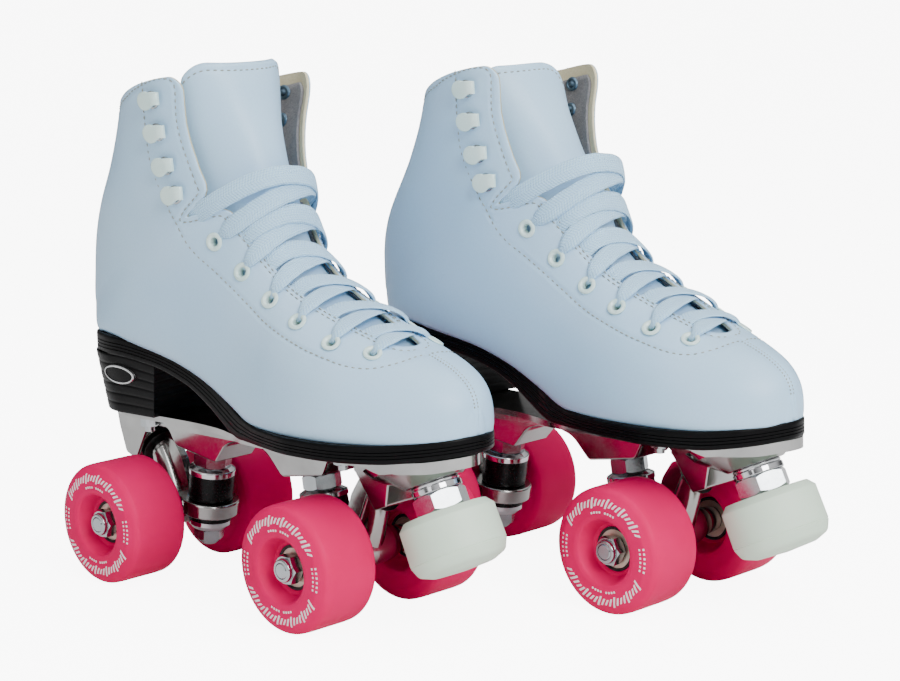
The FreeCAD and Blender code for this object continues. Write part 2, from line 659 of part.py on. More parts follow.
# Side profiles: x, z, rounding.
FLANGE_SIDE = [
    (-120, PLATE_TOP), (114.5, PLATE_TOP, 30), (130, PLATE_TOP + 1.25, 40),
    (136, PLATE_TOP + 2.1), (150, PLATE_TOP + 4.3), (150, 82.2), (132, 78.9, 30),
    (118, 78.2, 30), (100, PLATE_BOTTOM, 30), (-120, PLATE_BOTTOM)]
WEB_SIDE = [
    (102.8, 80.6), (101.8, 72, 6), (98.3, 57.6, 3.0), (89.8, 54.4, 1.6), (78.4, 71.8, 1.2),
    (72, 75.2, 4), (61, 75.2, 4), (56, 66.4, 4),
    (25, 64.0 + (25 - 40.7) * math.tan(TILT), 3),   # on the slope square to the kingpin
    (15, 72.8, 14), (1, 77.0), (1, 80.6)]
WEB_FLANK = [(13.5, 80.7), (11.6, 50), (30, 50), (30, 80.7)]    # y, z: cut off either side
RAIL_SIDE = [(-60, 80.5), (-50, 76.6, 8), (40, 76.6, 8), (52, 80.5)]
BOSS_TRIM = [(-120, PLATE_TOP - 1), (112, PLATE_TOP - 1, 30), (130, PLATE_TOP + .5, 40),
             (150, PLATE_TOP + 3), (150, 130), (-120, 130)]
# Toe stop boss: radius, distance down the stop's axis, rounding.
STOP_BOSS = [(0, -18), (30, -18), (27, -13), (14.2, -2.8, 1.5), (13.2, -2.65), (0, -2.65)]


def plate_prism(z):
    """Upright prism on the flange's plan."""
    loop = PLATE_PLAN + [(x, -y) for x, y in PLATE_PLAN[-2:0:-1]]
    return outline_prism([V(x, y, z) for x, y in loop], 60)


def plate_web(sx):
    """Web under the flange that carries one truck, with drafted flanks and rounded edges."""
    body = slab_y(facing(sx, WEB_SIDE), 13.4)
    for sy in (-1, 1):
        flank = closed_polygon([V(-150, sy * y, z) for y, z in WEB_FLANK])
        body = body.cut(Part.Face(flank).extrude(V(300, 0, 0)))
    # long edges of the flanks below the flange
    edges = []
    for edge in body.Edges:
        box = edge.BoundBox
        if (abs(box.YMax - box.YMin) < 3.2 and box.ZMax < 79 and abs(box.YMax) > 9
                and box.XLength + box.ZLength > 1.0):
            edges.append(edge)
    return soften(body, edges, 1.3)


def plate():
    flange = plate_prism(50).common(slab_y(FLANGE_SIDE, 60))
    webs = [plate_web(sx) for sx in (REAR, FRONT)]
    rails = [slab_y(RAIL_SIDE, 1.6, sy * 15.4) for sy in (-1, 1)]
    boss = turned(STOP_BOSS, stop_at(0), STOP_DIR)
    boss = boss.common(plate_prism(40)).cut(slab_y(BOSS_TRIM, 60))
    body = flange.fuse(webs + rails + [boss]).removeSplitter()
    tools = []
    for sx in (REAR, FRONT):
        tools.append(cyl(on_kingpin(sx, 79.0), kingpin_dir(sx), KINGPIN_R + PIN_CLEAR, 30))
        steer = steer_dir(sx)
        tools.append(cyl(on_kingpin(sx, RING_Z) + steer * 38, steer, PIVOT_CUP_R + .05, 17.2))
        for sy in (-1, 1):
            foot = V(sx * MOUNT_X, sy * MOUNT_Y, 60)
            tools.append(cyl(foot, UP, MOUNT_HOLE_R, 40))
            # spot face that gives the mounting nut room beside the web
            tools.append(cyl(foot, UP, 5.6, PLATE_BOTTOM - 60))
    tools.append(cyl(stop_at(-30), STOP_DIR, STOP_HOLE_R, 60))
    return largest(body.cut(tools))


def plate_bolts():
    """Mounting bolts with their nuts."""
    items = []
    for x, y in MOUNTS:
        head_z = smooth(SOLE_TOP, x) + LEATHER_T + .45
        low_z = PLATE_BOTTOM - 7.4
        head = turned([(0, 0), (4.3, 0), (4.1, .7), (2.6, 1.15), (0, 1.2)], V(x, y, head_z))
        bolt = cyl(V(x, y, low_z), UP, MOUNT_BOLT_R, head_z - low_z).fuse(head)
        nut = along(hexagon(8.0, 4.6), V(x, y, PLATE_BOTTOM - .02), V(0, 0, -1))
        items += [bolt.removeSplitter(),
                  nut.cut(cyl(V(x, y, 50), UP, MOUNT_BOLT_R + NUT_CLEAR, 60))]
    return group(items)


# ---------------------------------------------------------------- kingpin stack and pivot
CUP_WASHER_Z = JAM_NUT_Z - (JAM_NUT_H + STACK_GAP) * math.cos(TILT)
STACK_BORE_R = KINGPIN_R + .05
# Washer profiles: radius, distance down the axis, rounding.
CUP_WASHER = [
    (STACK_BORE_R, 0), (9.6, 0, .8), (12.1, 1.4, 1.2), (12.1, 4.2, .3), (11.7, 4.2),
    (11.45, CUP_WASHER_T, .6), (STACK_BORE_R, CUP_WASHER_T)]
RETAINER = [
    (STACK_BORE_R, 0), (10.4, 0), (10.5, -1.7, .2), (11.1, -1.7), (11.0, .6, .4),
    (8.6, RETAINER_H, 1.2), (STACK_BORE_R, RETAINER_H)]
STOP_COLLAR = [
    (STOP_HOLE_R, -2.6), (11.4, -2.6, .5), (12.0, -1.9, .3), (11.6, -1.2), (12.3, -.6, .3),
    (12.3, 2.0, .6), (11.6, 2.4), (STOP_HOLE_R, 2.4)]
# Pivot cup: radius, distance up the steering axis from the ring's centre, rounding.
PIVOT_BORE_R = PIVOT_PIN_R + .08
PIVOT_CUP = [
    (PIVOT_BORE_R, 46.0), (10.0, 46.0, .8), (10.0, 47.0), (PIVOT_CUP_R, 47.0),
    (PIVOT_CUP_R, 55.1, 1), (0, 55.1), (0, 54.2), (PIVOT_BORE_R, 54.2)]


def retainer_top(sx):
    return on_kingpin(sx, LOCK_NUT_Z) - kingpin_dir(sx) * (RETAINER_H + STACK_GAP)


def kingpin(sx):
    length = (KINGPIN_Z_TOP - KINGPIN_Z_END) / math.cos(TILT)
    return turned([(0, 0), (KINGPIN_R - .8, 0), (KINGPIN_R, .8), (KINGPIN_R, length),
                   (0, length)], on_kingpin(sx, KINGPIN_Z_END), kingpin_dir(sx) * -1)


def plate_nuts():
    """Jam and lock nut on each kingpin, and the toe stop's nut."""
    nuts = []
    for sx in (REAR, FRONT):
        down = kingpin_dir(sx)
        for body, z in ((hexagon(JAM_NUT_AF, JAM_NUT_H), JAM_NUT_Z),
                        (collar_hexagon(LOCK_NUT_AF, 5.6, 5.6, 7.2, .5), LOCK_NUT_Z)):
            bore = cyl(on_kingpin(sx, 80), down, KINGPIN_R + NUT_CLEAR, 80)
            nuts.append(along(body, on_kingpin(sx, z), down).cut(bore))
    stop_nut = along(hexagon(STOP_NUT_AF, STOP_NUT_H), stop_at(2.45), STOP_DIR)
    nuts.append(stop_nut.cut(cyl(stop_at(-30), STOP_DIR, STOP_HOLE_R, 90)))
    return group(nuts)


def cup_washers():
    """Upper cup washer and lower retainer on each kingpin, and the toe stop's collar."""
    washers = []
    for sx in (REAR, FRONT):
        down = kingpin_dir(sx)
        washers.append(turned(CUP_WASHER, on_kingpin(sx, CUP_WASHER_Z), down))
        washers.append(turned(RETAINER, retainer_top(sx), down))
    washers.append(turned(STOP_COLLAR, stop_at(0), STOP_DIR))
    return group(washers)


def cushions():
    """Cushions above and below each hanger ring."""
    items = []
    for sx in (REAR, FRONT):
        down, centre = kingpin_dir(sx), on_kingpin(sx, RING_Z)
        half_ring = down * (RING_T / 2 + STACK_GAP)
        top = on_kingpin(sx, CUP_WASHER_Z) + down * (CUP_WASHER_T + STACK_GAP)
        height = (centre - half_ring - top).Length
        items.append(turned([(CUSHION_BORE_R, 0), (11.2, 0, 1.0), (CUSHION_R - .3, 2.6, 1),
                             (CUSHION_R, height * .6, 6), (11.3, height, 1),
                             (CUSHION_BORE_R, height)], top, down))
        top = centre + half_ring
        height = (retainer_top(sx) - top).Length - STACK_GAP
        neck = height - 1.9         # above the retainer's rim
        items.append(turned([(CUSHION_BORE_R, 0), (10.6, 0, .6), (10.9, neck * .5, 1),
                             (10.2, neck, .4), (10.2, height), (CUSHION_BORE_R, height)],
                            top, down))
    return group(items)


# ---------------------------------------------------------------- trucks
# Beam: radius, y, rounding.
BEAM = [(0, -HANGER_END), (6.4, -HANGER_END, .6), (7.0, -20, 2), (9.2, -13, 6), (9.6, 0, 30),
        (9.2, 13, 6), (7.0, 20, 2), (6.4, HANGER_END, .6), (0, HANGER_END)]
# Pivot pin: radius, distance up the steering axis from the ring's centre, rounding.
PIVOT_PIN = [(0, 42.5), (6.9, 42.5), (6.9, 44.6, .5), (PIVOT_PIN_R, 45.2), (PIVOT_PIN_R, 52.2),
             (4.2, 53.6, .8), (0, 53.8)]
# Pivot arm stations below the pin: x, z, direction's x and z, radius.
ARM = [(70, 33, .25, .97, 9.0), (75.0, 42, .32, .95, 7.4), (78.4, 50.5, .45, .89, 6.6)]
# Gusset in the centre plane: x, z, rounding.
GUSSET = [(58.6, 36), (60.2, 46, 6), (64, 57, 10), (70.0, 65.6, 4), (75.6, 66.8, 3),
          (80.6, 60.5, 3), (79, 48, 3), (74, 36)]


def rear_hanger():
    sx = REAR
    down, steer = kingpin_dir(sx), steer_dir(sx)
    centre, axle_at = on_kingpin(sx, RING_Z), axle_centre(sx)
    half_t = RING_T / 2
    ring = turned([(0, -half_t), (RING_R - .4, -half_t, .8), (RING_R, -half_t + 1),
                   (RING_R - .5, half_t, .8), (0, half_t)], centre, down)
    beam = turned(BEAM, axle_at, ACROSS)
    # neck between ring and beam
    neck_x = sx * centre.x + 3
    neck = slab_y(facing(sx, [(neck_x, 31.6), (neck_x, 38.2), (62, 40.5, 5), (74, 38.5, 5),
                              (74, 26, 4), (62, 26.5, 5)]), 10.5)
    # pivot arm: curves up from the beam and ends on the steering axis
    stations = [(V(sx * x, 0, z), unit(V(sx * dx, 0, dz)), radius)
                for x, z, dx, dz, radius in ARM]
    stations.append((centre + steer * 44.2, steer, 6.9))
    arm = Part.makeLoft([Part.Wire([Part.makeCircle(radius, at, axis)])
                         for at, axis, radius in stations], True, False)
    pin = turned(PIVOT_PIN, centre, steer)
    gusset = slab_y(facing(sx, GUSSET), 2.2)
    body = ring.fuse([beam, neck, arm, pin, gusset]).removeSplitter()
    return largest(body.cut([
        cyl(centre - down * 20, down, RING_BORE_R, 40),
        cyl(axle_at - V(0, 60, 0), ACROSS, AXLE_R + PIN_CLEAR, 120),
        # room for the lower cushion and its retainer, also when the truck leans
        cyl(centre + down * half_t, down, 13.4, 24)]))


def inner_race(start, at, axis):
    """Grooved inner race of a bearing that starts at a distance along the axle."""
    near, far, bore_r = start + .01, start + BEARING_W - .01, AXLE_R + NUT_CLEAR
    groove_a, groove_b = start + 1.4, start + BEARING_W - 1.4
    return turned([(bore_r, near), (5.9, near, .2), (5.9, groove_a), (5.5, groove_a),
                   (5.5, groove_b), (5.9, groove_b), (5.9, far, .2), (bore_r, far)], at, axis)


def axle(sx):
    """Rod, inner races with their spacers, washers and lock nuts."""
    at, end, bore_r = axle_centre(sx), AXLE_HALF_LEN, AXLE_R + NUT_CLEAR
    items = [turned([(0, -end), (AXLE_R - .7, -end), (AXLE_R, -end + .7), (AXLE_R, end - .7),
                     (AXLE_R - .7, end), (0, end)], at, ACROSS)]
    inner_start = TRACK_HALF - BEARING_GAP_HALF - BEARING_W
    outer_start = TRACK_HALF + BEARING_GAP_HALF
    washer_start = outer_start + BEARING_W
    for sy in (-1, 1):
        outwards = V(0, sy, 0)
        items += [inner_race(start, at, outwards) for start in (inner_start, outer_start)]
        items.append(sleeve(bore_r, 5.4, inner_start + BEARING_W + .01, outer_start - .01,
                            at, outwards))
        items.append(sleeve(bore_r, 6.0, washer_start + .01, washer_start + .6, at, outwards))
        nut = along(collar_hexagon(13.0, 5.6, 5.5, 7.6, .8),
                    at + outwards * (washer_start + .62), outwards)
        items.append(nut.cut(cyl(at - V(0, 70, 0), ACROSS, bore_r, 140)))
    return group(items)


def wheel(centre):
    seat, face, bearing_r = -BEARING_GAP_HALF, -WHEEL_HALF_W, BEARING_OD / 2
    half = [(9.2, seat), (bearing_r, seat), (bearing_r, seat - BEARING_W),
            (11.9, seat - BEARING_W - .6), (12.8, seat - BEARING_W - .9, 1.0),
            (15.9, face + .4, 1.6), (18.2, face, 2.5), (25.2, face, 6),
            (WHEEL_R - .25, face + 2.3, WHEEL_EDGE_R), (WHEEL_R, face + 7.5, 4)]
    mirrored = [(q[0], -q[1]) + tuple(q[2:]) for q in half[::-1]]
    return turned(half + mirrored, centre, ACROSS)


def bearings(centre):
    """Outer races with shields, and balls, of a wheel's two bearings."""
    near, far = BEARING_GAP_HALF, BEARING_GAP_HALF + BEARING_W
    race_r = BEARING_OD / 2 - .02
    shell = [(9.5, near + .02), (race_r, near + .02, .3), (race_r, far - .02, .3),
             (9.7, far - .02), (9.6, far - .35), (6.3, far - .35), (6.3, far - .85),
             (9.5, far - .85), (9.5, near + .85), (6.3, near + .85), (6.3, near + .35),
             (9.5, near + .35)]
    balls, ball_r, ball_circle_r = 7, 1.97, 7.5
    items = []
    for sy in (-1, 1):
        axis = V(0, sy, 0)
        items.append(turned(shell, centre, axis))
        middle = centre + axis * (near + BEARING_W / 2)
        for i in range(balls):
            angle = 2 * math.pi * i / balls
            spoke = V(ball_circle_r * math.cos(angle), 0, ball_circle_r * math.sin(angle))
            items.append(Part.makeSphere(ball_r, middle + spoke))
    return group(items)


# ---------------------------------------------------------------- toe stop
# Stem and pad: radius, distance down the stop's axis, rounding.
STOP_STEM = [(0, -9.5), (STOP_STEM_R - 1, -9.5), (STOP_STEM_R, -8.5), (STOP_STEM_R, 29.4),
             (STOP_STEM_R - .6, 30), (0, 30)]
STOP_PAD = [
    (STOP_STEM_R + .03, 11.4), (STOP_PAD_R - 3.2, 11.4, .8), (STOP_PAD_R - .2, 14.9, .8),
    (STOP_PAD_R, 31.6, .2), (STOP_PAD_R - .3, 32.0), (STOP_PAD_R - 2.2, 37.4, 4),
    (STOP_PAD_R - 9, 40.0, 6), (0, 40.8), (0, 30.1), (STOP_STEM_R + .03, 30.1)]


def hardware():
    """Everything below the boot, alike on both skates."""
    trucks = (REAR, FRONT)
    out = {
        "plate": plate(),
        "plate_bolts": plate_bolts(),
        "kingpins": group([kingpin(sx) for sx in trucks]),
        "plate_nuts": plate_nuts(),
        "cup_washers": cup_washers(),
        "cushions": cushions(),
        "pivot_cups": group([turned(PIVOT_CUP, on_kingpin(sx, RING_Z), steer_dir(sx))
                             for sx in trucks]),
        "rear_hanger": rear_hanger(),
        "toe_stop_stem": turned(STOP_STEM, stop_at(0), STOP_DIR),
        "toe_stop": turned(STOP_PAD, stop_at(0), STOP_DIR)}
    out["front_hanger"] = out["rear_hanger"].mirror(ORIGIN, V(1, 0, 0))
    for end, sx in (("rear", REAR), ("front", FRONT)):
        out[end + "_axle"] = axle(sx)
        for side, sy in (("left", 1), ("right", -1)):
            centre = axle_centre(sx) + V(0, sy * TRACK_HALF, 0)
            out["%s_%s_wheel" % (end, side)] = wheel(centre)
            out["%s_%s_bearings" % (end, side)] = bearings(centre)
    return out


def main():
    os.makedirs("parts", exist_ok=True)
    hard, boot = hardware(), boot_parts()
    x_middle = (SKATE_X_MIN + SKATE_X_MAX) / 2
    for side, sign in (("right", -1), ("left", 1)):
        soft = dict(boot, tongue=tongue(side))
        if side == "left":
            soft = {name: shape.mirror(ORIGIN, ACROSS) for name, shape in soft.items()}
        offset = V(sign * SKATE_DX / 2 - x_middle, sign * SKATE_DY / 2, 0)
        for name, shape in {**soft, **hard}.items():
            placed = shape.copy()
            placed.translate(offset)
            placed.exportStep("parts/%s_%s.step" % (side, name))


main()
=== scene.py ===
"""A pair of white high-topped roller skates, standing side by side on a floor.

Each skate is drawn as a right skate in local millimetres: +X towards the toe, +Z up from
the floor, +Y towards the medial (inner) side and -Y towards the lateral (outer) side.
Soft parts of the left skate are mirrored in Y. Meshes are written in metres, in the frame
the two skates share.
"""
import math
import random

import bmesh
import bpy
import numpy as np
from mathutils import Matrix, Vector, kdtree


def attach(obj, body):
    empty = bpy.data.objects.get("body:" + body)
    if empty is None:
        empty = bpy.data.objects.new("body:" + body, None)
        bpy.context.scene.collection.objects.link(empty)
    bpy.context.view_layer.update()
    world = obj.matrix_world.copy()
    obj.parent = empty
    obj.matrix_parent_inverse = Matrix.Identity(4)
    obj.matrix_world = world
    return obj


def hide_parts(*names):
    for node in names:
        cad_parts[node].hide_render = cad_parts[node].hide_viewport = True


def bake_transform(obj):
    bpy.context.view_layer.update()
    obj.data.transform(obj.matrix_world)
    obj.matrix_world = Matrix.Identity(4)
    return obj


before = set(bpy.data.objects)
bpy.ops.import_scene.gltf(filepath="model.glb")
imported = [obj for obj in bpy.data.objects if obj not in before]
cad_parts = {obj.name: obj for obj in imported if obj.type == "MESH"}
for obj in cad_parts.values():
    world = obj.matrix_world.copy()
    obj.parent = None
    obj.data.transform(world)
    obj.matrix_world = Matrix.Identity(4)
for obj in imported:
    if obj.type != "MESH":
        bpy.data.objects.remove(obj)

random.seed(7)
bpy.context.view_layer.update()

# Where each skate's local origin lies in the shared frame, in millimetres.
SKATE_ORIGIN = {"right": np.array([-68.1, -59.1, 0.0]), "left": np.array([28.1, 59.1, 0.0])}


# ------------------------------------------------------------------ materials
def srgb(red, green, blue):
    """Linear RGBA from 8-bit sRGB."""
    def linear(value):
        value /= 255.0
        return value / 12.92 if value <= 0.04045 else ((value + 0.055) / 1.055) ** 2.4
    return (linear(red), linear(green), linear(blue), 1.0)


class Shader:
    """A material around one Principled node, with short calls for its other nodes."""
    SOCKETS = {"color": "Base Color", "rough": "Roughness", "metal": "Metallic",
               "normal": "Normal", "coat": "Coat Weight", "coat_rough": "Coat Roughness",
               "sheen": "Sheen Weight", "spec": "Specular IOR Level",
               "sss": "Subsurface Weight", "sss_scale": "Subsurface Scale"}

    def __init__(self, name):
        self.material = bpy.data.materials.new(name)
        self.material.use_nodes = True
        self.tree = self.material.node_tree
        self.tree.nodes.clear()
        self.output = self.node("ShaderNodeOutputMaterial")
        self.surface = self.node("ShaderNodeBsdfPrincipled")
        self.link(self.surface.outputs[0], self.output.inputs[0])

    def link(self, source, socket):
        self.tree.links.new(source, socket)

    def node(self, kind, **settings):
        node = self.tree.nodes.new(kind)
        for key, value in settings.items():
            setattr(node, key, value)
        return node

    def put(self, socket, value):
        """Links a socket to another, or gives it a plain value."""
        if isinstance(value, bpy.types.NodeSocket):
            self.link(value, socket)
        else:
            socket.default_value = value

    def coord(self, kind="Object"):
        return self.node("ShaderNodeTexCoord").outputs[kind]

    def noise(self, scale, detail=3.0, rough=0.5, vector=None):
        node = self.node("ShaderNodeTexNoise")
        node.inputs["Scale"].default_value = scale
        node.inputs["Detail"].default_value = detail
        node.inputs["Roughness"].default_value = rough
        self.link(self.coord() if vector is None else vector, node.inputs["Vector"])
        return node.outputs[0]

    def voronoi(self, scale):
        node = self.node("ShaderNodeTexVoronoi")
        node.inputs["Scale"].default_value = scale
        self.link(self.coord(), node.inputs["Vector"])
        return node.outputs[0]

    def math(self, operation, first, second=0.0):
        node = self.node("ShaderNodeMath", operation=operation)
        for socket, value in zip(node.inputs, (first, second, 0.0)):
            self.put(socket, value)
        return node.outputs[0]

    def remap(self, value, span, to=(0, 1)):
        node = self.node("ShaderNodeMapRange")
        self.put(node.inputs[0], value)
        for i, limit in enumerate((*span, *to)):
            node.inputs[i + 1].default_value = limit
        return node.outputs[0]

    def mix(self, factor, first, second):
        node = self.node("ShaderNodeMix", data_type="RGBA")
        self.put(node.inputs[0], factor)
        self.put(node.inputs[6], first)
        self.put(node.inputs[7], second)
        return node.outputs[2]

    def bump(self, height, distance, strength=1.0, normal=None):
        node = self.node("ShaderNodeBump")
        node.inputs["Strength"].default_value = strength
        node.inputs["Distance"].default_value = distance
        self.link(height, node.inputs["Height"])
        if normal is not None:
            self.link(normal, node.inputs["Normal"])
        return node.outputs[0]

    def finish(self, **values):
        """Sets the surface's inputs and returns the material."""
        for key, value in values.items():
            self.put(self.surface.inputs[self.SOCKETS[key]], value)
        return self.material


def leather():
    n = Shader("white_leather")
    patches = n.noise(scale=14, detail=2)
    grain = n.noise(scale=900, detail=4, rough=.6)
    pores = n.voronoi(scale=620)
    color = n.mix(n.remap(patches, span=(.35, .65)), srgb(178, 216, 245), srgb(187, 221, 247))
    color = n.mix(n.remap(grain, span=(.35, .7), to=(0, .22)), color, srgb(160, 200, 234))
    height = n.math("ADD", n.math("MULTIPLY", pores, .55), n.math("MULTIPLY", grain, .6))
    waves = n.bump(n.noise(scale=70, detail=2), distance=.00045, strength=.5)
    return n.finish(color=color, rough=n.remap(grain, span=(.3, .7), to=(.36, .50)), spec=.45,
                    normal=n.bump(height, distance=.00006, strength=.7, normal=waves),
                    coat=.08, coat_rough=.35)


def felt(name, dark, light, scale=900):
    n = Shader(name)
    fibres = n.noise(scale=scale, detail=6, rough=.75)
    color = n.mix(n.remap(fibres, span=(.3, .7)), dark, light)
    patches = n.noise(scale=120, detail=4)
    color = n.mix(n.remap(patches, span=(.4, .65), to=(0, .5)), color, dark)
    return n.finish(color=color, rough=.95, spec=.15, sheen=.3,
                    normal=n.bump(fibres, distance=.0005, strength=.9))


def cut_edge():
    n = Shader("cut_edge")
    fibres = n.noise(scale=1400, detail=4, rough=.7)
    color = n.mix(n.remap(fibres, span=(.3, .7)), srgb(226, 219, 190), srgb(206, 196, 158))
    return n.finish(color=color, rough=.8,
                    normal=n.bump(fibres, distance=.0002, strength=.8))


def lace_weave():
    """Flat herringbone tape: U runs along it in metres, V across it from 0 to 1."""
    rib_pitch = .0015     # metres along the tape
    rib_slant = 3.2       # ribs that a rib's slant spans, per tape width
    rows_across = 8
    n = Shader("white_lace")
    uv = n.coord("UV")
    split = n.node("ShaderNodeSeparateXYZ")
    n.link(uv, split.inputs[0])
    from_middle = n.math("ABSOLUTE", n.math("SUBTRACT", split.outputs[1], .5))
    phase = n.math("ADD", n.math("MULTIPLY", split.outputs[0], 2 * math.pi / rib_pitch),
                   n.math("MULTIPLY", from_middle, 2 * math.pi * rib_slant))
    ribs = n.math("SINE", phase)
    rows = n.math("SINE", n.math("MULTIPLY", split.outputs[1], 2 * math.pi * rows_across))
    weave = n.math("ADD", n.math("MULTIPLY", ribs, .5), n.math("MULTIPLY", rows, .5))
    fuzz = n.noise(scale=1800, detail=3, rough=.7)
    height = n.math("ADD", weave, n.math("MULTIPLY", fuzz, .5))
    # the weave's low places are painted darker and its raised ribs lighter: painted shade and
    # painted light in the weave
    color = n.mix(n.remap(weave, span=(-1, 1)), srgb(160, 206, 243), srgb(194, 231, 252))
    return n.finish(color=color, rough=.82, spec=.2, sheen=.25,
                    normal=n.bump(height, distance=.00022, strength=.85))


def thread():
    n = Shader("thread")
    twist = n.noise(scale=2500, detail=2)
    color = n.mix(n.remap(twist, span=(.3, .7)), srgb(176, 182, 176), srgb(118, 120, 112))
    return n.finish(color=color, rough=.75, normal=n.bump(twist, distance=.0001, strength=.6))


def enamel():
    n = Shader("white_enamel")
    patches = n.noise(scale=60, detail=3)
    grain = n.noise(scale=1500, detail=3)
    color = n.mix(n.remap(patches, span=(.35, .65)), srgb(203, 231, 227), srgb(214, 237, 233))
    return n.finish(color=color, rough=n.remap(grain, span=(.3, .7), to=(.18, .30)), spec=.5,
                    coat=.4, coat_rough=.12,
                    normal=n.bump(grain, distance=.00002, strength=.5))


def rubber(name, dark, light, rough, depth=.00008, scale=700, spec=.4):
    n = Shader(name)
    grain = n.noise(scale=scale, detail=4, rough=.6)
    patches = n.noise(scale=35, detail=3)
    return n.finish(color=n.mix(n.remap(patches, span=(.35, .65)), dark, light),
                    rough=n.remap(grain, span=(.3, .7), to=(rough - .07, rough + .09)),
                    spec=spec, normal=n.bump(grain, distance=depth, strength=.7),
                    coat=0.0, coat_rough=.3)


def metal(name, light, dark, rough, spread=.08, scale=900, depth=.00003, stretch=None):
    """spread is how far the roughness strays; stretch scales the grain along X, Y and Z."""
    n = Shader(name)
    vector = n.coord()
    if stretch:
        mapping = n.node("ShaderNodeMapping")
        mapping.inputs["Scale"].default_value = stretch
        n.link(vector, mapping.inputs["Vector"])
        vector = mapping.outputs[0]
    grain = n.noise(scale=scale, detail=4, rough=.6, vector=vector)
    patches = n.noise(scale=45, detail=3)
    color = n.mix(n.remap(patches, span=(.35, .65)), light, dark)
    limits = (max(.02, rough - spread), rough + spread)
    waves = n.noise(scale=70, detail=2)
    fine = n.bump(grain, distance=depth, strength=.25)
    return n.finish(color=color, metal=1.0, rough=n.remap(grain, span=(.3, .7), to=limits),
                    normal=n.bump(waves, distance=.00025, strength=.35, normal=fine))


def urethane():
    n = Shader("wheel_urethane")
    grain = n.noise(scale=500, detail=4, rough=.6)
    patches = n.noise(scale=30, detail=3)
    color = n.mix(n.remap(patches, span=(.35, .65)), (.70, .0, .098, 1), (.76, .0003, .115, 1))
    return n.finish(color=color, rough=n.remap(grain, span=(.3, .7), to=(.34, .46)), spec=.05,
                    normal=n.bump(grain, distance=.00003, strength=.6),
                    sss=.03, sss_scale=.002)


def wheel_print():
    n = Shader("wheel_print")
    grain = n.noise(scale=1200, detail=4, rough=.7)
    color = n.mix(n.remap(grain, span=(.3, .62)), srgb(236, 226, 230), srgb(250, 238, 242))
    return n.finish(color=color, rough=n.remap(grain, span=(.3, .7), to=(.4, .55)),
                    normal=n.bump(grain, distance=.00002, strength=.6))


MATERIALS = {
    "leather": leather(), "edge": cut_edge(), "lace": lace_weave(), "thread": thread(),
    "enamel": enamel(), "wheel": urethane(), "print": wheel_print(),
    "felt": felt("grey_lining", srgb(104, 104, 108), srgb(150, 150, 152)),
    "insole": felt("insole_cloth", srgb(196, 190, 176), srgb(218, 212, 200), scale=700),
    "sole": rubber("sole_rubber", srgb(5, 5, 6), srgb(8, 8, 9), rough=.36, spec=.10),
    "heel": rubber("heel_stack", srgb(4, 4, 5), srgb(7, 7, 8), rough=.34, spec=.10),
    "cushion": rubber("cushion_urethane", srgb(4, 4, 5), srgb(8, 8, 9), rough=.28,
                      depth=.00002, scale=500, spec=.18),
    "cup": rubber("pivot_cup_plastic", srgb(5, 5, 6), srgb(9, 9, 10), rough=.45,
                  depth=.00003, scale=500),
    "stop": rubber("stop_rubber", srgb(206, 226, 206), srgb(214, 232, 213), rough=.50,
                   depth=.00009, scale=600),
    "plate": metal("plate_aluminium", (.46, .46, .455, 1), (.37, .37, .365, 1), rough=.16,
                   spread=.06, scale=500, depth=.00001),
    "hanger": metal("hanger_aluminium", (.48, .48, .47, 1), (.38, .38, .37, 1), rough=.18,
                    spread=.06, scale=420, depth=.00001),
    "zinc": metal("zinc_steel", (.50, .53, .55, 1), (.40, .43, .45, 1), rough=.20,
                  spread=.06, scale=800, depth=.00001),
    "nickel": metal("nickel_steel", (.74, .69, .57, 1), (.60, .56, .46, 1), rough=.48,
                    scale=700, depth=.00001),
    "chrome": metal("chrome_steel", (.66, .66, .68, 1), (.56, .57, .60, 1), rough=.09,
                    spread=.04, scale=700, depth=.000004),
    "badge": metal("badge_metal", (.70, .71, .72, 1), (.60, .61, .62, 1), rough=.28,
                   depth=.00002, stretch=(1, 8, 1)),
    "washer": metal("rivet_washer", srgb(120, 146, 166), srgb(96, 120, 140), rough=.34)}


# ------------------------------------------------------------------ meshes
def shared_frame(points, side, mirror=True):
    """Local millimetres to metres in the frame that both skates share."""
    points = np.array(points, float)
    if side == "left" and mirror:
        points = points * np.array([1.0, -1.0, 1.0])
    return (points + SKATE_ORIGIN[side]) / 1000.0


def mark_sharp(obj, degrees):
    """Marks edges steeper than an angle as sharp, so flats stay flat and rounds round."""
    bm = bmesh.new()
    bm.from_mesh(obj.data)
    limit = math.radians(degrees)
    for edge in bm.edges:
        if len(edge.link_faces) == 2 and edge.calc_face_angle(0) > limit:
            edge.smooth = False
    bm.to_mesh(obj.data)
    bm.free()
    obj.data.update()


def add_mesh(side, piece, verts, faces, materials, face_materials=None, uv=None, mirror=True,
             body="skate", slot=None, replaces=None, crease=None):
    """One object from local vertices. piece, body and replaces are named without the side."""
    if side == "left" and mirror:
        faces = [tuple(face[::-1]) for face in faces]
    name = side + "_" + piece
    mesh = bpy.data.meshes.new(name)
    mesh.from_pydata([tuple(v) for v in shared_frame(verts, side, mirror)], [], faces)
    for key in materials:
        mesh.materials.append(MATERIALS[key])
    if face_materials is not None:
        mesh.polygons.foreach_set("material_index", np.array(face_materials, dtype=np.int32))
    mesh.polygons.foreach_set("use_smooth", np.full(len(faces), True))
    if uv is not None:
        layer = mesh.uv_layers.new(name="UVMap")
        corners = np.zeros(len(mesh.loops), dtype=np.int32)
        mesh.loops.foreach_get("vertex_index", corners)
        layer.data.foreach_set("uv", np.array(uv, float)[corners].astype(np.float32).ravel())
    mesh.validate()
    mesh.update()
    obj = bpy.data.objects.new(name, mesh)
    bpy.context.scene.collection.objects.link(obj)
    if crease:
        mark_sharp(obj, crease)
    if body:
        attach(obj, side + "_" + body)
    if replaces:
        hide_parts(side + "_" + replaces)
    return obj


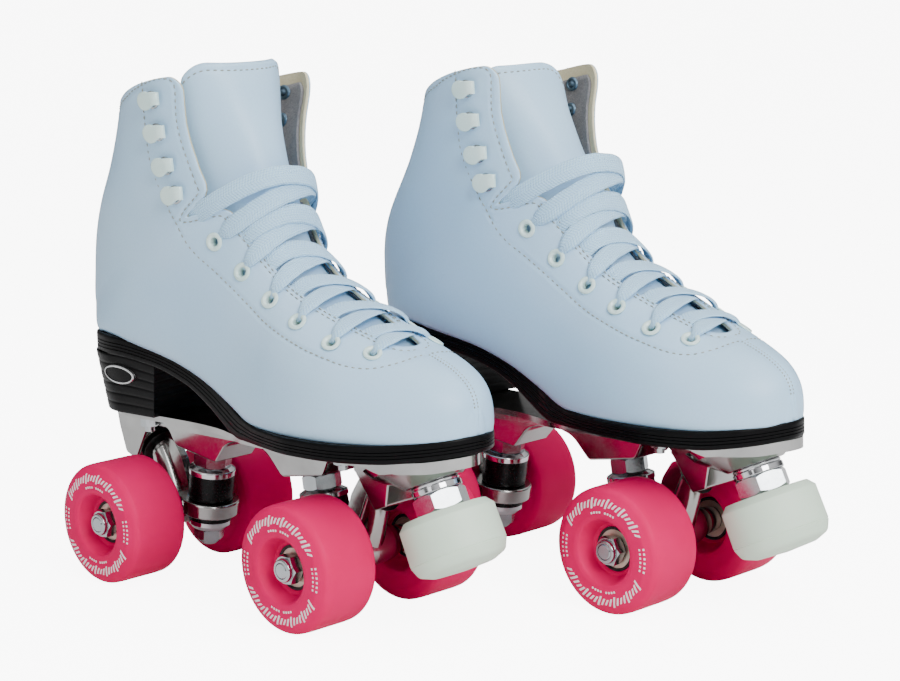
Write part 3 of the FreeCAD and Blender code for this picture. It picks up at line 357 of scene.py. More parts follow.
def outward(verts, faces):
    """Faces of a closed solid turned outwards, judged by its signed volume."""
    volume = 0.0
    for face in faces:
        for k in range(1, len(face) - 1):
            volume += np.dot(verts[face[0]], np.cross(verts[face[k]], verts[face[k + 1]]))
    return faces if volume > 0 else [tuple(face[::-1]) for face in faces]


class Parts:
    """Collects many small solids into one mesh."""
    def __init__(self):
        self.verts, self.faces, self.materials, self.uv, self.count = [], [], [], [], 0

    def put(self, verts, faces, material=0, uv=None):
        verts = np.array(verts, float)
        self.verts.append(verts)
        self.faces += [tuple(i + self.count for i in face) for face in faces]
        self.materials += material if isinstance(material, list) else [material] * len(faces)
        self.uv.append(np.zeros((len(verts), 2)) if uv is None else np.array(uv, float))
        self.count += len(verts)

    def put_solid(self, verts, faces, material=0):
        self.put(verts, outward(verts, faces), material)

    def splay(self, side):
        self.verts = [splay(verts, side) for verts in self.verts]

    def add(self, side, piece, materials, **options):
        return add_mesh(side, piece, np.concatenate(self.verts), self.faces, materials,
                        self.materials, np.concatenate(self.uv), **options)


def unit(vectors):
    vectors = np.asarray(vectors, float)
    return vectors / np.linalg.norm(vectors, axis=-1, keepdims=True)


def arc_length(points):
    steps = np.linalg.norm(np.diff(points, axis=0), axis=1)
    return np.concatenate([[0], np.cumsum(steps)])


def sample(at, stations, values):
    """Rows of values read at places between their stations."""
    return np.stack([np.interp(at, stations, column) for column in values.T], -1)


def ease(x):
    x = np.clip(x, 0, 1)
    return x ** 2 * (3 - 2 * x)


def bisect(is_below, low, high, steps):
    """Halves the span until it closes on the place where is_below turns false."""
    for _ in range(steps):
        middle = (low + high) / 2
        below = is_below(middle)
        low, high = np.where(below, middle, low), np.where(below, high, middle)
    return (low + high) / 2


def rounding(gap, radius):
    """How far an edge rounded to a radius falls away at a distance from that edge."""
    reach = radius - np.minimum(gap, radius)
    fall = radius - np.sqrt(np.maximum(0, radius * radius - reach ** 2))
    return np.where(gap < radius, fall, 0.0)


def round_profile(points, closed=False, segments=6):
    """Polyline from (radius, height[, fillet]) points with true arcs at the fillets."""
    result = []
    count = len(points)
    for i, entry in enumerate(points):
        corner = np.array(entry[:2], float)
        fillet = entry[2] if len(entry) > 2 else 0
        if fillet <= 0 or (not closed and i in (0, count - 1)):
            result.append(corner)
            continue
        before = np.array(points[i - 1][:2], float) - corner
        after = np.array(points[(i + 1) % count][:2], float) - corner
        length_before, length_after = np.linalg.norm(before), np.linalg.norm(after)
        before, after = before / length_before, after / length_after
        half = math.acos(max(-1, min(1, before @ after))) / 2
        if half > math.pi / 2 - .01:
            result.append(corner)
            continue
        tangent = min(fillet / math.tan(half), .49 * length_before, .49 * length_after)
        radius = tangent * math.tan(half)
        bisector = (before + after) / np.linalg.norm(before + after)
        centre = corner + bisector * (radius / math.sin(half))
        start, end = corner + before * tangent - centre, corner + after * tangent - centre
        angle = math.atan2(start[1], start[0])
        sweep = (math.atan2(end[1], end[0]) - angle + math.pi) % (2 * math.pi) - math.pi
        for k in range(segments + 1):
            w = angle + sweep * k / segments
            result.append(centre + radius * np.array([math.cos(w), math.sin(w)]))
    return result


def revolve(profile, origin, axis, segments, closed=True):
    """Turns a profile of (radius, height) about an axis. Radius 0 becomes one vertex."""
    axis = unit(axis)
    x = unit(np.cross((1.0, 0, 0) if abs(axis[2]) > .95 else (0, 0, 1.0), axis))
    y = np.cross(axis, x)
    origin = np.array(origin, float)
    verts, rings = [], []
    for radius, height in profile:
        if radius < 1e-6:
            rings.append([len(verts)] * segments)
            verts.append(origin + axis * height)
            continue
        rings.append(list(range(len(verts), len(verts) + segments)))
        for k in range(segments):
            w = 2 * math.pi * k / segments
            verts.append(origin + (x * math.cos(w) + y * math.sin(w)) * radius + axis * height)
    faces = []
    for i in range(len(rings) if closed else len(rings) - 1):
        a, b = rings[i], rings[(i + 1) % len(rings)]
        for k in range(segments):
            k2 = (k + 1) % segments
            face = tuple(dict.fromkeys((a[k], a[k2], b[k2], b[k])))
            if len(face) > 2:
                faces.append(face)
    return np.array(verts), faces


def ring_faces(rings, count):
    """Side faces of a stack of closed rings with count vertices each."""
    faces = []
    for i in range(rings - 1):
        for k in range(count):
            k2 = (k + 1) % count
            faces.append((i * count + k, i * count + k2,
                          (i + 1) * count + k2, (i + 1) * count + k))
    return faces


def tube_faces(rings, count):
    """ring_faces with the first and the last ring closed."""
    first = tuple(range(count - 1, -1, -1))
    last = tuple(range((rings - 1) * count, rings * count))
    return ring_faces(rings, count) + [first, last]


def grid_faces(rows, columns, base=0, flip=False):
    i, j = np.meshgrid(np.arange(rows - 1), np.arange(columns - 1), indexing="ij")
    a = (i * columns + j + base).ravel()
    faces = np.stack([a, a + 1, a + columns + 1, a + columns], -1)
    return faces[:, ::-1] if flip else faces


# ------------------------------------------------------------------ the boot's form
# Sole outline from heel to toe: x, lateral y, medial y.
SOLE_PLAN = [
    (-114.6, 0, 0), (-113.3, -8.5, 8.5), (-109.9, -16, 16), (-104, -22.4, 22.4),
    (-95, -27.6, 27.6), (-79, -31, 31), (-50, -29.5, 29.5), (-30, -29, 28),
    (-12, -29.5, 28), (6, -31, 29.5), (23, -34, 33), (40, -38, 37.5), (59, -42, 41.5),
    (72, -42.3, 43), (84, -41.5, 44), (96, -39, 43), (107, -34.5, 40.5), (118, -28, 36.5),
    (128, -21, 30.5), (135, -15, 24), (140, -9.5, 17.5), (143.5, -3, 10.5), (145, 4, 4)]
# Heights of the sole's faces: x, z.
SOLE_TOP = [
    (-124, 122.6), (-100, 124), (-80, 124), (-50, 120.7), (-31, 117), (-12, 111), (6, 103),
    (23, 94.8), (34, 92.2), (46, 91.6), (80, 91.6), (110, 92), (130, 93.5), (148, 96)]
SOLE_BOTTOM = [
    (-124, 113), (-100, 114), (-80, 114), (-51.5, 111.3), (-24.7, 104.3), (-6.4, 95.4),
    (4.3, 88.8), (12, 84.8), (19, 83.1), (30, 83.08), (80, 83.05), (112, 83.1),
    (130, 84.6), (148, 87.4)]
# Rings of the form from the toe, over the foot and up the shaft. Each leans from a base at
# the sole or the back to a tip over the foot or at the front. Columns: base x, base z
# (None: 1 mm under the sole's top), tip x, tip z, half width, share of FOOT, centre y.
RINGS = [
    (142.8, None, 142.9, 106.5, 5.2, 1, 4.2), (141, None, 141.6, 112.2, 11, 1, 4.3),
    (137, None, 137.5, 117.6, 17, 1, 4.5), (129, None, 129.3, 123.2, 24.3, 1, 4.6),
    (118, None, 118.3, 127.8, 31, 1, 4.2), (105, None, 105.3, 132, 36.5, 1, 3.2),
    (88, None, 89, 138.5, 40.5, 1, 1.8), (68, None, 71.5, 146, 41.3, 1, 0.8),
    (48, None, 55, 154, 39.5, 1, 0.2), (28, None, 42, 163, 36.3, 1, 0),
    (8, None, 34, 172, 33.8, 1, 0), (-14, None, 30.5, 181, 32.8, 1, 0),
    (-40, None, 29, 189.5, 33.2, 1, 0), (-70, None, 28.4, 197, 34.2, .9, 0),
    (-95, None, 27.8, 204, 34.8, .6, 0), (-107.5, None, 27.0, 209, 35, .3, 0),
    (-114.6, 133, 25.5, 215, 35.2, 0, 0), (-112.8, 152, 23.5, 222, 35.6, 0, 0),
    (-108.4, 171, 21, 230, 36.4, 0, 0), (-101, 188, 18.5, 238, 37.6, 0, 0),
    (-89.5, 207, 15.5, 246, 39, 0, 0), (-80, 226, 13, 254, 40.4, 0, 0),
    (-72.5, 248, 9.5, 261, 41.2, 0, 0), (-68.5, 264, 7, 270.5, 41.6, 0, 0)]
# Half of a ring's shape from base to tip: share of half width, share of length.
FOOT = np.array([(0, 0), (.55, 0), (.90, 0), (.985, .02), (1.03, .15), (1.01, .38),
                 (.93, .62), (.73, .85), (.40, 1.0), (0, 1.02)])
SHAFT = np.array([(0, 0), (.27, 0), (.53, .035), (.77, .13), (.95, .30), (1.03, .50),
                  (1.01, .70), (.86, .87), (.48, 1.0), (0, 1.01)])
TONGUE_SHAFT = np.array([(0, 0), (.27, 0), (.53, .035), (.77, .13), (.95, .30), (1.0, .50),
                         (.95, .68), (.79, .85), (.43, .985), (0, 1.01)])
# Tip x of the rings the tongue follows, where they differ from the boot's: ring -> x.
TONGUE_FRONT = {
    "right": {12: 28.6, 13: 27.2, 14: 25.6, 15: 23.8, 16: 21.6, 17: 19, 18: 16.4, 19: 13.8,
              20: 11.2, 21: 8.8, 22: 6.4, 23: 4.2},
    "left": {11: 29.6, 12: 27.4, 13: 24.8, 14: 21.8, 15: 18.2, 16: 14, 17: 9.6, 18: 5.2,
             19: 0.8, 20: -3.4, 21: -7.4, 22: -11, 23: -14.2}}
TONGUE_TOP = {"right": 264.2, "left": 259.6}
# Top edge of the cuff: x, z.
CUFF_LINE = [(-95, 236), (-80, 238.2), (-72, 241), (-60, 245.8), (-48, 250.6),
             (-32, 255.3), (-14, 258.2), (2, 259), (30, 259)]

# Places on the form are (ring, turn). Ring is an index into RINGS. Turn runs round a ring:
# 0 at the base, over the medial side to 9 at the tip, over the lateral side back to 18.
TIP_TURN, FULL_TURN = 9.0, 18
# Lateral eyelets and hooks; the medial ones mirror them.
EYELETS = [(13.05, 11.5), (11.05, 11.4), (9.15, 11.03), (7.78, 10.85), (6.53, 10.8),
           (5.42, 10.4)]
HOOKS = [(21.3, 12.45), (19.9, 12.3), (18.3, 12.1), (16.9, 11.95)]
# Free lateral edge of the upper, from the throat to the cuff.
EDGE = [
    (5.02, 9.0), (5.05, 9.2), (5.12, 9.38), (5.3, 9.52), (5.6, 9.6), (6.1, 9.68),
    (6.8, 9.82), (7.7, 9.97), (8.9, 10.2), (10.2, 10.45), (11, 10.6), (12.4, 10.78),
    (13.4, 10.86), (14.0, 10.93), (14.6, 11.05), (15.1, 11.3), (15.45, 11.62),
    (15.6, 11.78), (15.66, 11.82), (15.74, 11.74), (15.85, 11.5), (16.0, 11.33),
    (16.25, 11.26), (16.6, 11.25), (17.41, 11.34), (18.83, 11.44), (19.75, 11.48),
    (20.68, 11.45), (21.49, 11.40), (23, 11.38)]
# Stitched seams of the lateral half.
SEAM_OUTER = [
    (22.15, 13.0), (21.87, 12.95), (21.0, 12.9), (19.48, 12.7), (17.96, 12.45),
    (16.54, 12.2), (14.96, 11.98), (12.73, 11.95), (11.16, 11.9), (9.47, 11.65),
    (8.05, 11.5), (7.18, 11.45), (6.48, 11.38), (5.82, 11.3), (5.28, 11.1), (4.84, 10.72),
    (4.5, 10.15), (4.40, 9.5), (4.38, 9.06)]
SEAM_INNER = [
    (21.50, 15.2), (21.62, 14.4), (21.71, 13.95), (21.85, 13.5), (21.96, 13.0),
    (22.06, 12.5), (22.06, 12.15), (21.98, 11.85), (21.77, 11.68), (21.44, 11.65),
    (20.79, 11.7), (19.97, 11.72), (19.1, 11.66), (17.85, 11.55), (16.87, 11.46),
    (16.42, 11.42), (16.22, 11.58), (16.02, 11.82), (15.75, 11.96), (15.45, 11.86),
    (14.95, 11.52), (14.4, 11.24), (13.88, 11.08), (12.3, 10.98), (11.0, 10.83),
    (10.2, 10.66), (8.9, 10.43), (7.7, 10.2), (6.8, 10.05), (6.1, 9.93), (5.5, 9.86),
    (5.1, 9.72), (4.86, 9.45), (4.80, 9.1)]
SEAM_EYELETS = [
    (13.9, 11.02), (12.4, 10.88), (11.0, 10.70), (10.2, 10.55), (8.9, 10.3), (7.7, 10.07),
    (6.8, 9.92), (6.1, 9.79), (5.6, 9.72)]
THROAT_RING = EDGE[0][0]     # the upper is closed over the toe below this ring
COLLAR_RING = 20.0           # above this ring the rows spread to meet the cuff line
COLLAR_HEIGHT = 21.5         # nominal distance from that ring to the cuff line


def smooth_curve(table):
    """Monotone cubic through a table of (x, value)."""
    X, Y = np.array(table, float).T
    count = len(X)
    secants = np.diff(Y) / np.diff(X)
    slopes = np.zeros(count)
    slopes[0], slopes[-1] = secants[0], secants[-1]
    for j in range(1, count - 1):
        before, after = secants[j - 1], secants[j]
        slopes[j] = 0 if before * after <= 0 else 2 * before * after / (before + after)

    def curve(x):
        x = np.clip(np.asarray(x, float), X[0], X[-1])
        i = np.clip(np.searchsorted(X, x, side="right") - 1, 0, count - 2)
        h = X[i + 1] - X[i]
        t = (x - X[i]) / h
        return ((2 * t**3 - 3 * t**2 + 1) * Y[i] + (t**3 - 2 * t**2 + t) * h * slopes[i]
                + (-2 * t**3 + 3 * t**2) * Y[i + 1] + (t**3 - t**2) * h * slopes[i + 1])
    return curve


sole_top = smooth_curve(SOLE_TOP)
sole_bottom = smooth_curve(SOLE_BOTTOM)
cuff_height = smooth_curve(CUFF_LINE)


def boot_form(tip_x={}):
    """RINGS as an array, with base heights filled in and some tips moved along X."""
    rows = [list(row) for row in RINGS]
    for i, row in enumerate(rows):
        if row[1] is None:
            row[1] = float(sole_top(row[0])) - 1.0
        row[2] = tip_x.get(i, row[2])
    return np.array(rows, float)


FORM = boot_form()
RING_INDEX = np.arange(len(RINGS))
HALF_WIDTH, CENTRE_Y = 4, 6     # columns of FORM


def catmull(p0, p1, p2, p3, t):
    return 0.5 * (2 * p1 + (p2 - p0) * t + (2 * p0 - 5 * p1 + 4 * p2 - p3) * t * t
                  + (3 * p1 - p0 - 3 * p2 + p3) * t**3)


def skin(ring, turn, form=FORM, shaft=SHAFT):
    """Points of the form: a spline through the rings and a B-spline round each ring."""
    ring, turn = np.broadcast_arrays(np.asarray(ring, float), np.asarray(turn, float))
    shape = ring.shape
    ring, turn = ring.ravel(), turn.ravel()
    lower = np.clip(np.floor(ring).astype(int), 0, len(form) - 2)
    near = [form[np.clip(lower + k, 0, len(form) - 1)] for k in (-1, 0, 1, 2)]
    base_x, base_z, tip_x, tip_z, half_width, foot, centre = catmull(
        *near, (ring - lower)[:, None]).T
    foot = np.clip(foot, 0, 1)[:, None, None]
    length = np.hypot(tip_x - base_x, tip_z - base_z)
    half = (foot * FOOT + (1 - foot) * shaft) * np.stack([half_width, length], -1)[:, None]
    loop = np.concatenate([half, half[:, -2:0:-1] * np.array([-1.0, 1.0])], 1)
    j = np.floor(turn).astype(int)
    q = turn - j
    weights = np.stack([(1 - q)**3, 3 * q**3 - 6 * q * q + 4,
                        -3 * q**3 + 3 * q * q + 3 * q + 1, q**3], -1) / 6
    picks = (j[:, None] + np.arange(-1, 3)[None]) % FULL_TURN
    picked = np.take_along_axis(loop, picks[..., None].repeat(2, -1), 1)
    across, along = (picked * weights[..., None]).sum(1).T
    points = np.stack([base_x + along * ((tip_x - base_x) / length), centre + across,
                       base_z + along * ((tip_z - base_z) / length)], -1)
    return points.reshape(shape + (3,))


def skin_normal(ring, turn, *form):
    """Outward unit normals of the form."""
    e = .03
    ring, turn = np.asarray(ring, float), np.asarray(turn, float)
    by_ring = skin(ring + e, turn, *form) - skin(np.maximum(ring - e, 0), turn, *form)
    by_turn = skin(ring, turn + e, *form) - skin(ring, turn - e, *form)
    normal = np.cross(by_ring, by_turn)
    return normal / np.maximum(np.linalg.norm(normal, axis=-1, keepdims=True), 1e-9)


def mirrored(path):
    """(ring, turn) places moved to the medial half."""
    path = np.array(path, float)
    path[:, 1] = FULL_TURN - path[:, 1]
    return path


def skin_both(path):
    """Skin points of lateral (ring, turn) places, then of their mirror images."""
    return skin(*np.concatenate([np.array(path, float), mirrored(path)]).T)


EYELET_SITES = skin_both(EYELETS)


def edge_turn(ring):
    rings, turns = np.array(EDGE).T
    return np.where(np.asarray(ring) < THROAT_RING, TIP_TURN, np.interp(ring, rings, turns))


def sole_turn(ring):
    """Turn at which the lateral half of a ring comes down to the sole."""
    turns = np.linspace(13.0, 18.0, 501)
    points = skin(ring, turns)
    gap = points[:, 2] - sole_top(points[:, 0]) - .35
    if not (gap < 0).any():
        return 18.0
    i = int(np.argmax(gap < 0))
    if i == 0:
        return float(turns[0])
    step = turns[i] - turns[i - 1]
    return float(turns[i - 1] + step * gap[i - 1] / (gap[i - 1] - gap[i]))


def cuff_ring(turn):
    """Ring at which the skin meets the cuff line."""
    def is_below(ring):
        points = skin(ring, turn)
        return points[..., 2] < cuff_height(points[..., 0])
    return bisect(is_below, 19.5, 23.4, 24)


# ------------------------------------------------------------------ leather and lining sheets
def sheet_rows(step):
    """Rows from toe to cuff: (ring, share of the way to the cuff line, distance below it)."""
    fine = np.linspace(0, COLLAR_RING, 1601)
    length = arc_length(skin(fine, 12.0))
    rings = list(np.interp(np.arange(0, length[-1], step), length, fine))
    # closer rows at the throat and at the notch in the edge
    rings += list(np.linspace(5.0, 5.4, max(4, int(16.8 / step))))
    rings += list(np.linspace(14.8, 16.3, max(14, int(56 / step))))
    kept = [0.0]
    for ring in sorted(rings):
        if ring - kept[-1] > (.006 if 4.95 < ring < 5.45 else .025):
            kept.append(ring)
    rows = [(ring, 0.0, 99.0) for ring in kept if ring < 19.97]
    drops = [0, .12, .32, .62, 1.05, 1.6, 2.3, 3.2, 4.2, 5.4, 6.8]
    if step > 2:
        drops = [0, .4, 1.2, 2.6, 5]
    while drops[-1] + step < COLLAR_HEIGHT:
        drops.append(drops[-1] + step)
    return rows + [(COLLAR_RING, 1 - drop / COLLAR_HEIGHT, drop) for drop in drops[::-1]]


def edge_columns(step):
    """Column distances from the free edge, close together near it."""
    near = [0, .5, 1.5, 3.1] if step > 2 else [0, .12, .32, .62, 1.05, 1.6, 2.3, 3.1]
    while near[-1] < 26:
        near.append(near[-1] + (.95 if step < 2 else step))
    return np.array(near)


def sheet(step, columns, cut=0.0, first_ring=0.0):
    """Lateral half of an upper as grids of ring, turn and distance to the free edges.

    cut trims the free edges back.
    """
    corner = 8.0     # radius of the cuff's front corner
    near = edge_columns(step)
    grid = []
    for ring, rise, drop in sheet_rows(step):
        if ring < first_ring or drop < cut:
            continue

        def rings_at(turns):
            if rise == 0:
                return np.full_like(turns, ring)
            return COLLAR_RING + (cuff_ring(turns) - COLLAR_RING) * rise

        first = float(edge_turn(ring if rise == 0 else 20 + 2 * rise))
        last = sole_turn(ring) if rise == 0 else 18.0
        turns = first + (last - first) * np.linspace(0, 1, 90)
        length = arc_length(skin(rings_at(turns), turns))
        start, below = 0.0, drop - cut
        if ring >= THROAT_RING:
            start = cut
            if below < corner:
                start += corner - math.sqrt(max(0.0, corner**2 - (corner - below) ** 2))
        width = length[-1] - start
        close = near * min(1.0, width / 60.0)
        rest = np.linspace(close[-1], width, columns - len(near) + 1)[1:]
        distance = np.concatenate([close, rest]) + start
        row = np.interp(distance, length, turns)
        row[-1] = last
        gap = distance - start if ring >= THROAT_RING else np.full_like(distance, 99.0)
        grid.append((rings_at(row), row, np.minimum(gap, below)))
    return [np.array(part) for part in zip(*grid)]


def seam_path(table, step):
    """Even (ring, turn) samples along a seam, smoothed by a spline."""
    table = np.array(table, float)
    ends = [2 * table[0] - table[1]], [2 * table[-1] - table[-2]]
    knots = np.concatenate([ends[0], table, ends[1]])
    path = []
    for i in range(len(table) - 1):
        for q in np.linspace(0, 1, 14, endpoint=False):
            path.append(catmull(*knots[i:i + 4], q))
    path.append(table[-1])
    path = np.array(path)
    length = arc_length(skin(*path.T))
    return sample(np.arange(0, length[-1], step), length, path)


def distance_to(sites):
    """A function that gives each point's distance to the nearest site."""
    tree = kdtree.KDTree(len(sites))
    for i, site in enumerate(sites):
        tree.insert(site, i)
    tree.balance()
    return lambda points: np.array([tree.find(p)[2] for p in points])


def close_toe(points, normals, depth, faces, arch, outer_depth):
    """Closes the toe tip with half rings that shrink to a point."""
    start, start_normals, start_depth = points[arch], normals[arch], depth[arch]
    forward = np.array([1.0, 0, 0])
    centre = np.array([start[:, 0].mean(), start[:, 1].mean(), start[:, 2].min()])
    previous = arch
    for angle in (15, 30, 45, 60, 75, 90):
        shrink, swell = math.cos(math.radians(angle)), math.sin(math.radians(angle))
        if angle == 90:
            current = [len(points)] * len(arch)
            new_points = (centre + .9 * swell * forward)[None]
            new_normals = forward[None]
            new_depth = np.array([outer_depth])
        else:
            current = list(range(len(points), len(points) + len(arch)))
            new_points = centre + (start - centre) * shrink + .9 * swell * forward
            new_normals = unit(start_normals * shrink + forward * swell)
            new_depth = outer_depth + (start_depth - outer_depth) * shrink
        points = np.vstack([points, new_points])
        normals = np.vstack([normals, new_normals])
        depth = np.concatenate([depth, new_depth])
        for i in range(len(arch) - 1):
            quad = (current[i], current[i + 1], previous[i + 1], previous[i])
            faces.append(tuple(dict.fromkeys(quad)))
        previous = current
    return points, normals, depth


def shell(grid, outer_depth, inner_depth, edge_radius, hole_radius, relief=None, toe=True):
    """Closed thin shell from a half sheet and its mirror image.

    Returns vertices, faces and face materials: 0 outer, 1 inner, 2 rim.
    """
    ring, turn, gap = grid
    rows, columns = ring.shape
    count = rows * columns
    all_rings = np.concatenate([ring.ravel(), ring.ravel()])
    all_turns = np.concatenate([turn.ravel(), FULL_TURN - turn.ravel()])
    points, normals = skin(all_rings, all_turns), skin_normal(all_rings, all_turns)
    # the lower edge tucks in under the sole's top
    lower = np.zeros((rows, columns), bool)
    lower[:, -1] = turn[:, -1] < 17.99
    lower = np.concatenate([lower.ravel()] * 2)
    points[lower, 2] = np.minimum(points[lower, 2], sole_top(points[lower, 0]) - .6)
    depth = outer_depth + np.concatenate([rounding(gap.ravel(), edge_radius)] * 2)
    if relief is not None:
        depth = depth + relief(points)
    grid_quads = np.concatenate([grid_faces(rows, columns),
                                 grid_faces(rows, columns, count, True)])
    # weld the toe's centre line and the back seam
    seen, target, kept = {}, np.zeros(len(points), int), []
    cells = np.round(points / .004).astype(np.int64)
    flat = np.concatenate([turn.ravel()] * 2)
    centre = (np.abs(flat - TIP_TURN) < 1e-6) | (np.abs(flat - FULL_TURN) < 1e-6)
    for i in range(len(points)):
        if centre[i]:
            cell = tuple(cells[i])
            if cell in seen:
                target[i] = seen[cell]
                continue
            seen[cell] = len(kept)
        target[i] = len(kept)
        kept.append(i)
    points, normals, depth = points[kept], normals[kept], depth[kept]
    faces = [tuple(dict.fromkeys(face)) for face in target[grid_quads].tolist()]
    gone = distance_to(EYELET_SITES)(points) < hole_radius
    faces = [f for f in faces if len(f) > 2 and not any(gone[i] for i in f)]
    if toe:
        arch = np.concatenate([np.arange(columns - 1, 0, -1) + count, np.arange(columns)])
        arch = list(dict.fromkeys(target[arch].tolist()))
        points, normals, depth = close_toe(points, normals, depth, faces, arch, outer_depth)
    outer, inner = points - normals * depth[:, None], points - normals * inner_depth
    n = len(points)
    edges = {}
    for face in faces:
        for edge in zip(face, face[1:] + face[:1]):
            edges[edge] = True
    rim = [(a, b) for a, b in edges if (b, a) not in edges]
    # the grid's own faces turn inwards, so the outer layer takes them reversed
    closed = [face[::-1] for face in faces] + [tuple(i + n for i in face) for face in faces]
    closed += [(b + n, a + n, a, b) for a, b in rim]
    face_materials = [0] * len(faces) + [1] * len(faces) + [2] * len(rim)
    return np.vstack([outer, inner]), closed, face_materials


def leather_relief():
    """Depth of stitched grooves, eyelet dimples, the toe rib and soft unevenness."""
    seams = (SEAM_OUTER, SEAM_INNER, SEAM_EYELETS)
    to_seam = distance_to(np.concatenate([skin_both(seam_path(s, .4)) for s in seams]))
    to_eyelet = distance_to(EYELET_SITES)
    to_toe_line = distance_to(skin(np.linspace(4.4, 0.0, 260), TIP_TURN))

    def swell(distance, middle, width):
        return np.exp(-((distance - middle) / width) ** 2)

    def relief(points):
        x, z = points[:, 0], points[:, 2]
        d = to_seam(points)
        depth = np.where(d < 4, .34 * swell(d, 0, .85) - .10 * swell(d, 2.0, .9), 0.0)
        d = to_eyelet(points)
        depth = depth + np.where(d < 9, .28 * swell(d, 3.6, 1.6), 0.0)
        d = to_toe_line(points)
        depth = depth + np.where(d < 4, -.62 * swell(d, 0, .85) + .36 * swell(d, 1.9, .7), 0.0)
        waves = .16 * np.sin(x * .055 + 1.1) * np.sin(z * .068 + .4 + .02 * x)
        return depth + waves + .07 * np.sin(x * .13 - z * .11)
    return relief


def build_shells():
    step, columns = ((1.5, 76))
    upper = shell(sheet(step, columns), outer_depth=0.0, inner_depth=2.15, edge_radius=.85,
                  hole_radius=2.75, relief=leather_relief())
    lining = shell(sheet(2.6, 40, cut=3.6, first_ring=5.05), outer_depth=2.2,
                   inner_depth=3.9, edge_radius=.5, hole_radius=4.2, toe=False)
    return upper, lining


UPPER, LINING = build_shells()


def splay(verts, side):
    """Sets each boot's flaps and back a little off the shared form.

    The right boot's medial flap stands further open than the other three.
    """
    verts = np.array(verts, float)
    right = side == "right"
    far = verts[:, 1] > 6 if right else verts[:, 1] < -6
    fall = ease((verts[:, 2] - 226) / 28) * ease((verts[:, 0] + 66) / 36)
    verts[:, 2] -= fall * np.where(far, 3.0 if right else 4.2, .8)
    if not right:
        # the left boot's back is a little rounder over the heel and lower at the cuff
        back = ease((-64 - verts[:, 0]) / 34)
        heights = [0, 128, 145, 157, 166, 174, 181, 195, 207, 222, 300]
        shifts = [0, 0, -1.5, -2.9, -3.0, -2.5, -1.6, .5, 1.2, .4, 0]
        verts[:, 0] += back * np.interp(verts[:, 2], heights, shifts)
        verts[:, 2] -= ease((verts[:, 2] - 205) / 34) * ease((-58 - verts[:, 0]) / 22) * 3.4
        return verts
    share = ease((verts[:, 0] + 52) / 42) * ease((verts[:, 2] - 178) / 34) * far
    opening = share * (4.3 + 2.6 * np.clip((verts[:, 2] - 205) / 55, 0, 1))
    return verts + opening[:, None] * np.array([.70, .70, 0])


# ------------------------------------------------------------------ stitches and tapes
def stitch_row(parts, path, normals, start=.6, length=2.3, gap=1.15, radius=.34, lift=.05,
               crown=(-.25, .12, .2, .12, -.25), first_corner=0):
    """Short rounded stitches along a path.

    crown is the height at five stations; first_corner picks each side face's diagonal.
    """
    stations = arc_length(path)
    radii = np.array([.35, .9, 1.0, .9, .35]) * radius
    heights = np.array(crown) + lift
    sides = 6
    faces = [face[::-1] for face in tube_faces(5, sides)]
    faces = [f[first_corner:] + f[:first_corner] if len(f) == 4 else f for f in faces]
    position = start
    while position + length < stations[-1]:
        at = np.linspace(position, position + length, 5)
        centres = sample(at, stations, path)
        up = unit(sample(at, stations, normals))
        across = np.cross(up, unit(centres[-1] - centres[0]))
        verts = []
        for i in range(5):
            for k in range(sides):
                w = 2 * math.pi * k / sides
                verts.append(centres[i] + across[i] * math.cos(w) * radii[i]
                             + up[i] * (math.sin(w) * radii[i] + heights[i]))
        parts.put(verts, faces)
        position += length + gap


def ribbon(parts, path, normals, widths, thickness, bow):
    """Flat tape swept along a path, bowed outwards across its width."""
    along = unit(np.gradient(path, axis=0))
    normals = unit(normals - along * (normals * along).sum(1)[:, None])
    across = np.cross(normals, along)
    stations = arc_length(path)
    x = np.linspace(-1, 1, 11)
    edge = np.sqrt(np.maximum(0, 1 - np.abs(x) ** 5)) * .8 + .2
    # once round the section: over the top, then back underneath
    section = [(x[k], edge[k], 1) for k in range(11)]
    section += [(x[k], edge[k], -1) for k in range(10, -1, -1)]
    verts, uv = [], []
    for i, centre in enumerate(path):
        for place, taper, face in section:
            height = bow[i] * (1 - place * place) + face * thickness[i] / 2 * taper
            verts.append(centre + across[i] * place * widths[i] / 2 + normals[i] * height)
            uv.append((stations[i] / 1000.0, (place + 1) / 2))
    faces = [face[::-1] for face in tube_faces(len(path), len(section))]
    parts.put(verts, faces, 0, uv)


def make_stitching(side):
    parts = Parts()
    styles = [(SEAM_OUTER, dict(lift=-.23)), (SEAM_INNER, dict(lift=-.23)),
              (SEAM_EYELETS, dict(lift=-.05, length=1.9, gap=1.2))]
    for medial in (False, True):
        for table, style in styles:
            path = seam_path(table, .5)
            if medial:
                path = mirrored(path)
            stitch_row(parts, skin(*path.T), skin_normal(*path.T), **style)
    # two rows of small close stitches beside the toe's raised rib
    ring = np.linspace(4.35, .12, 240)
    half_width = np.interp(ring, RING_INDEX, FORM[:, HALF_WIDTH])
    for sign in (-1, 1):
        turn = TIP_TURN + sign * np.clip(1.15 / (half_width * .42), 0, .9)
        stitch_row(parts, skin(ring, turn), skin_normal(ring, turn),
                   length=1.15, gap=.6, radius=.33, lift=.07)
    parts.splay(side)
    parts.add(side, "stitching", ["thread"], slot="white_leather")


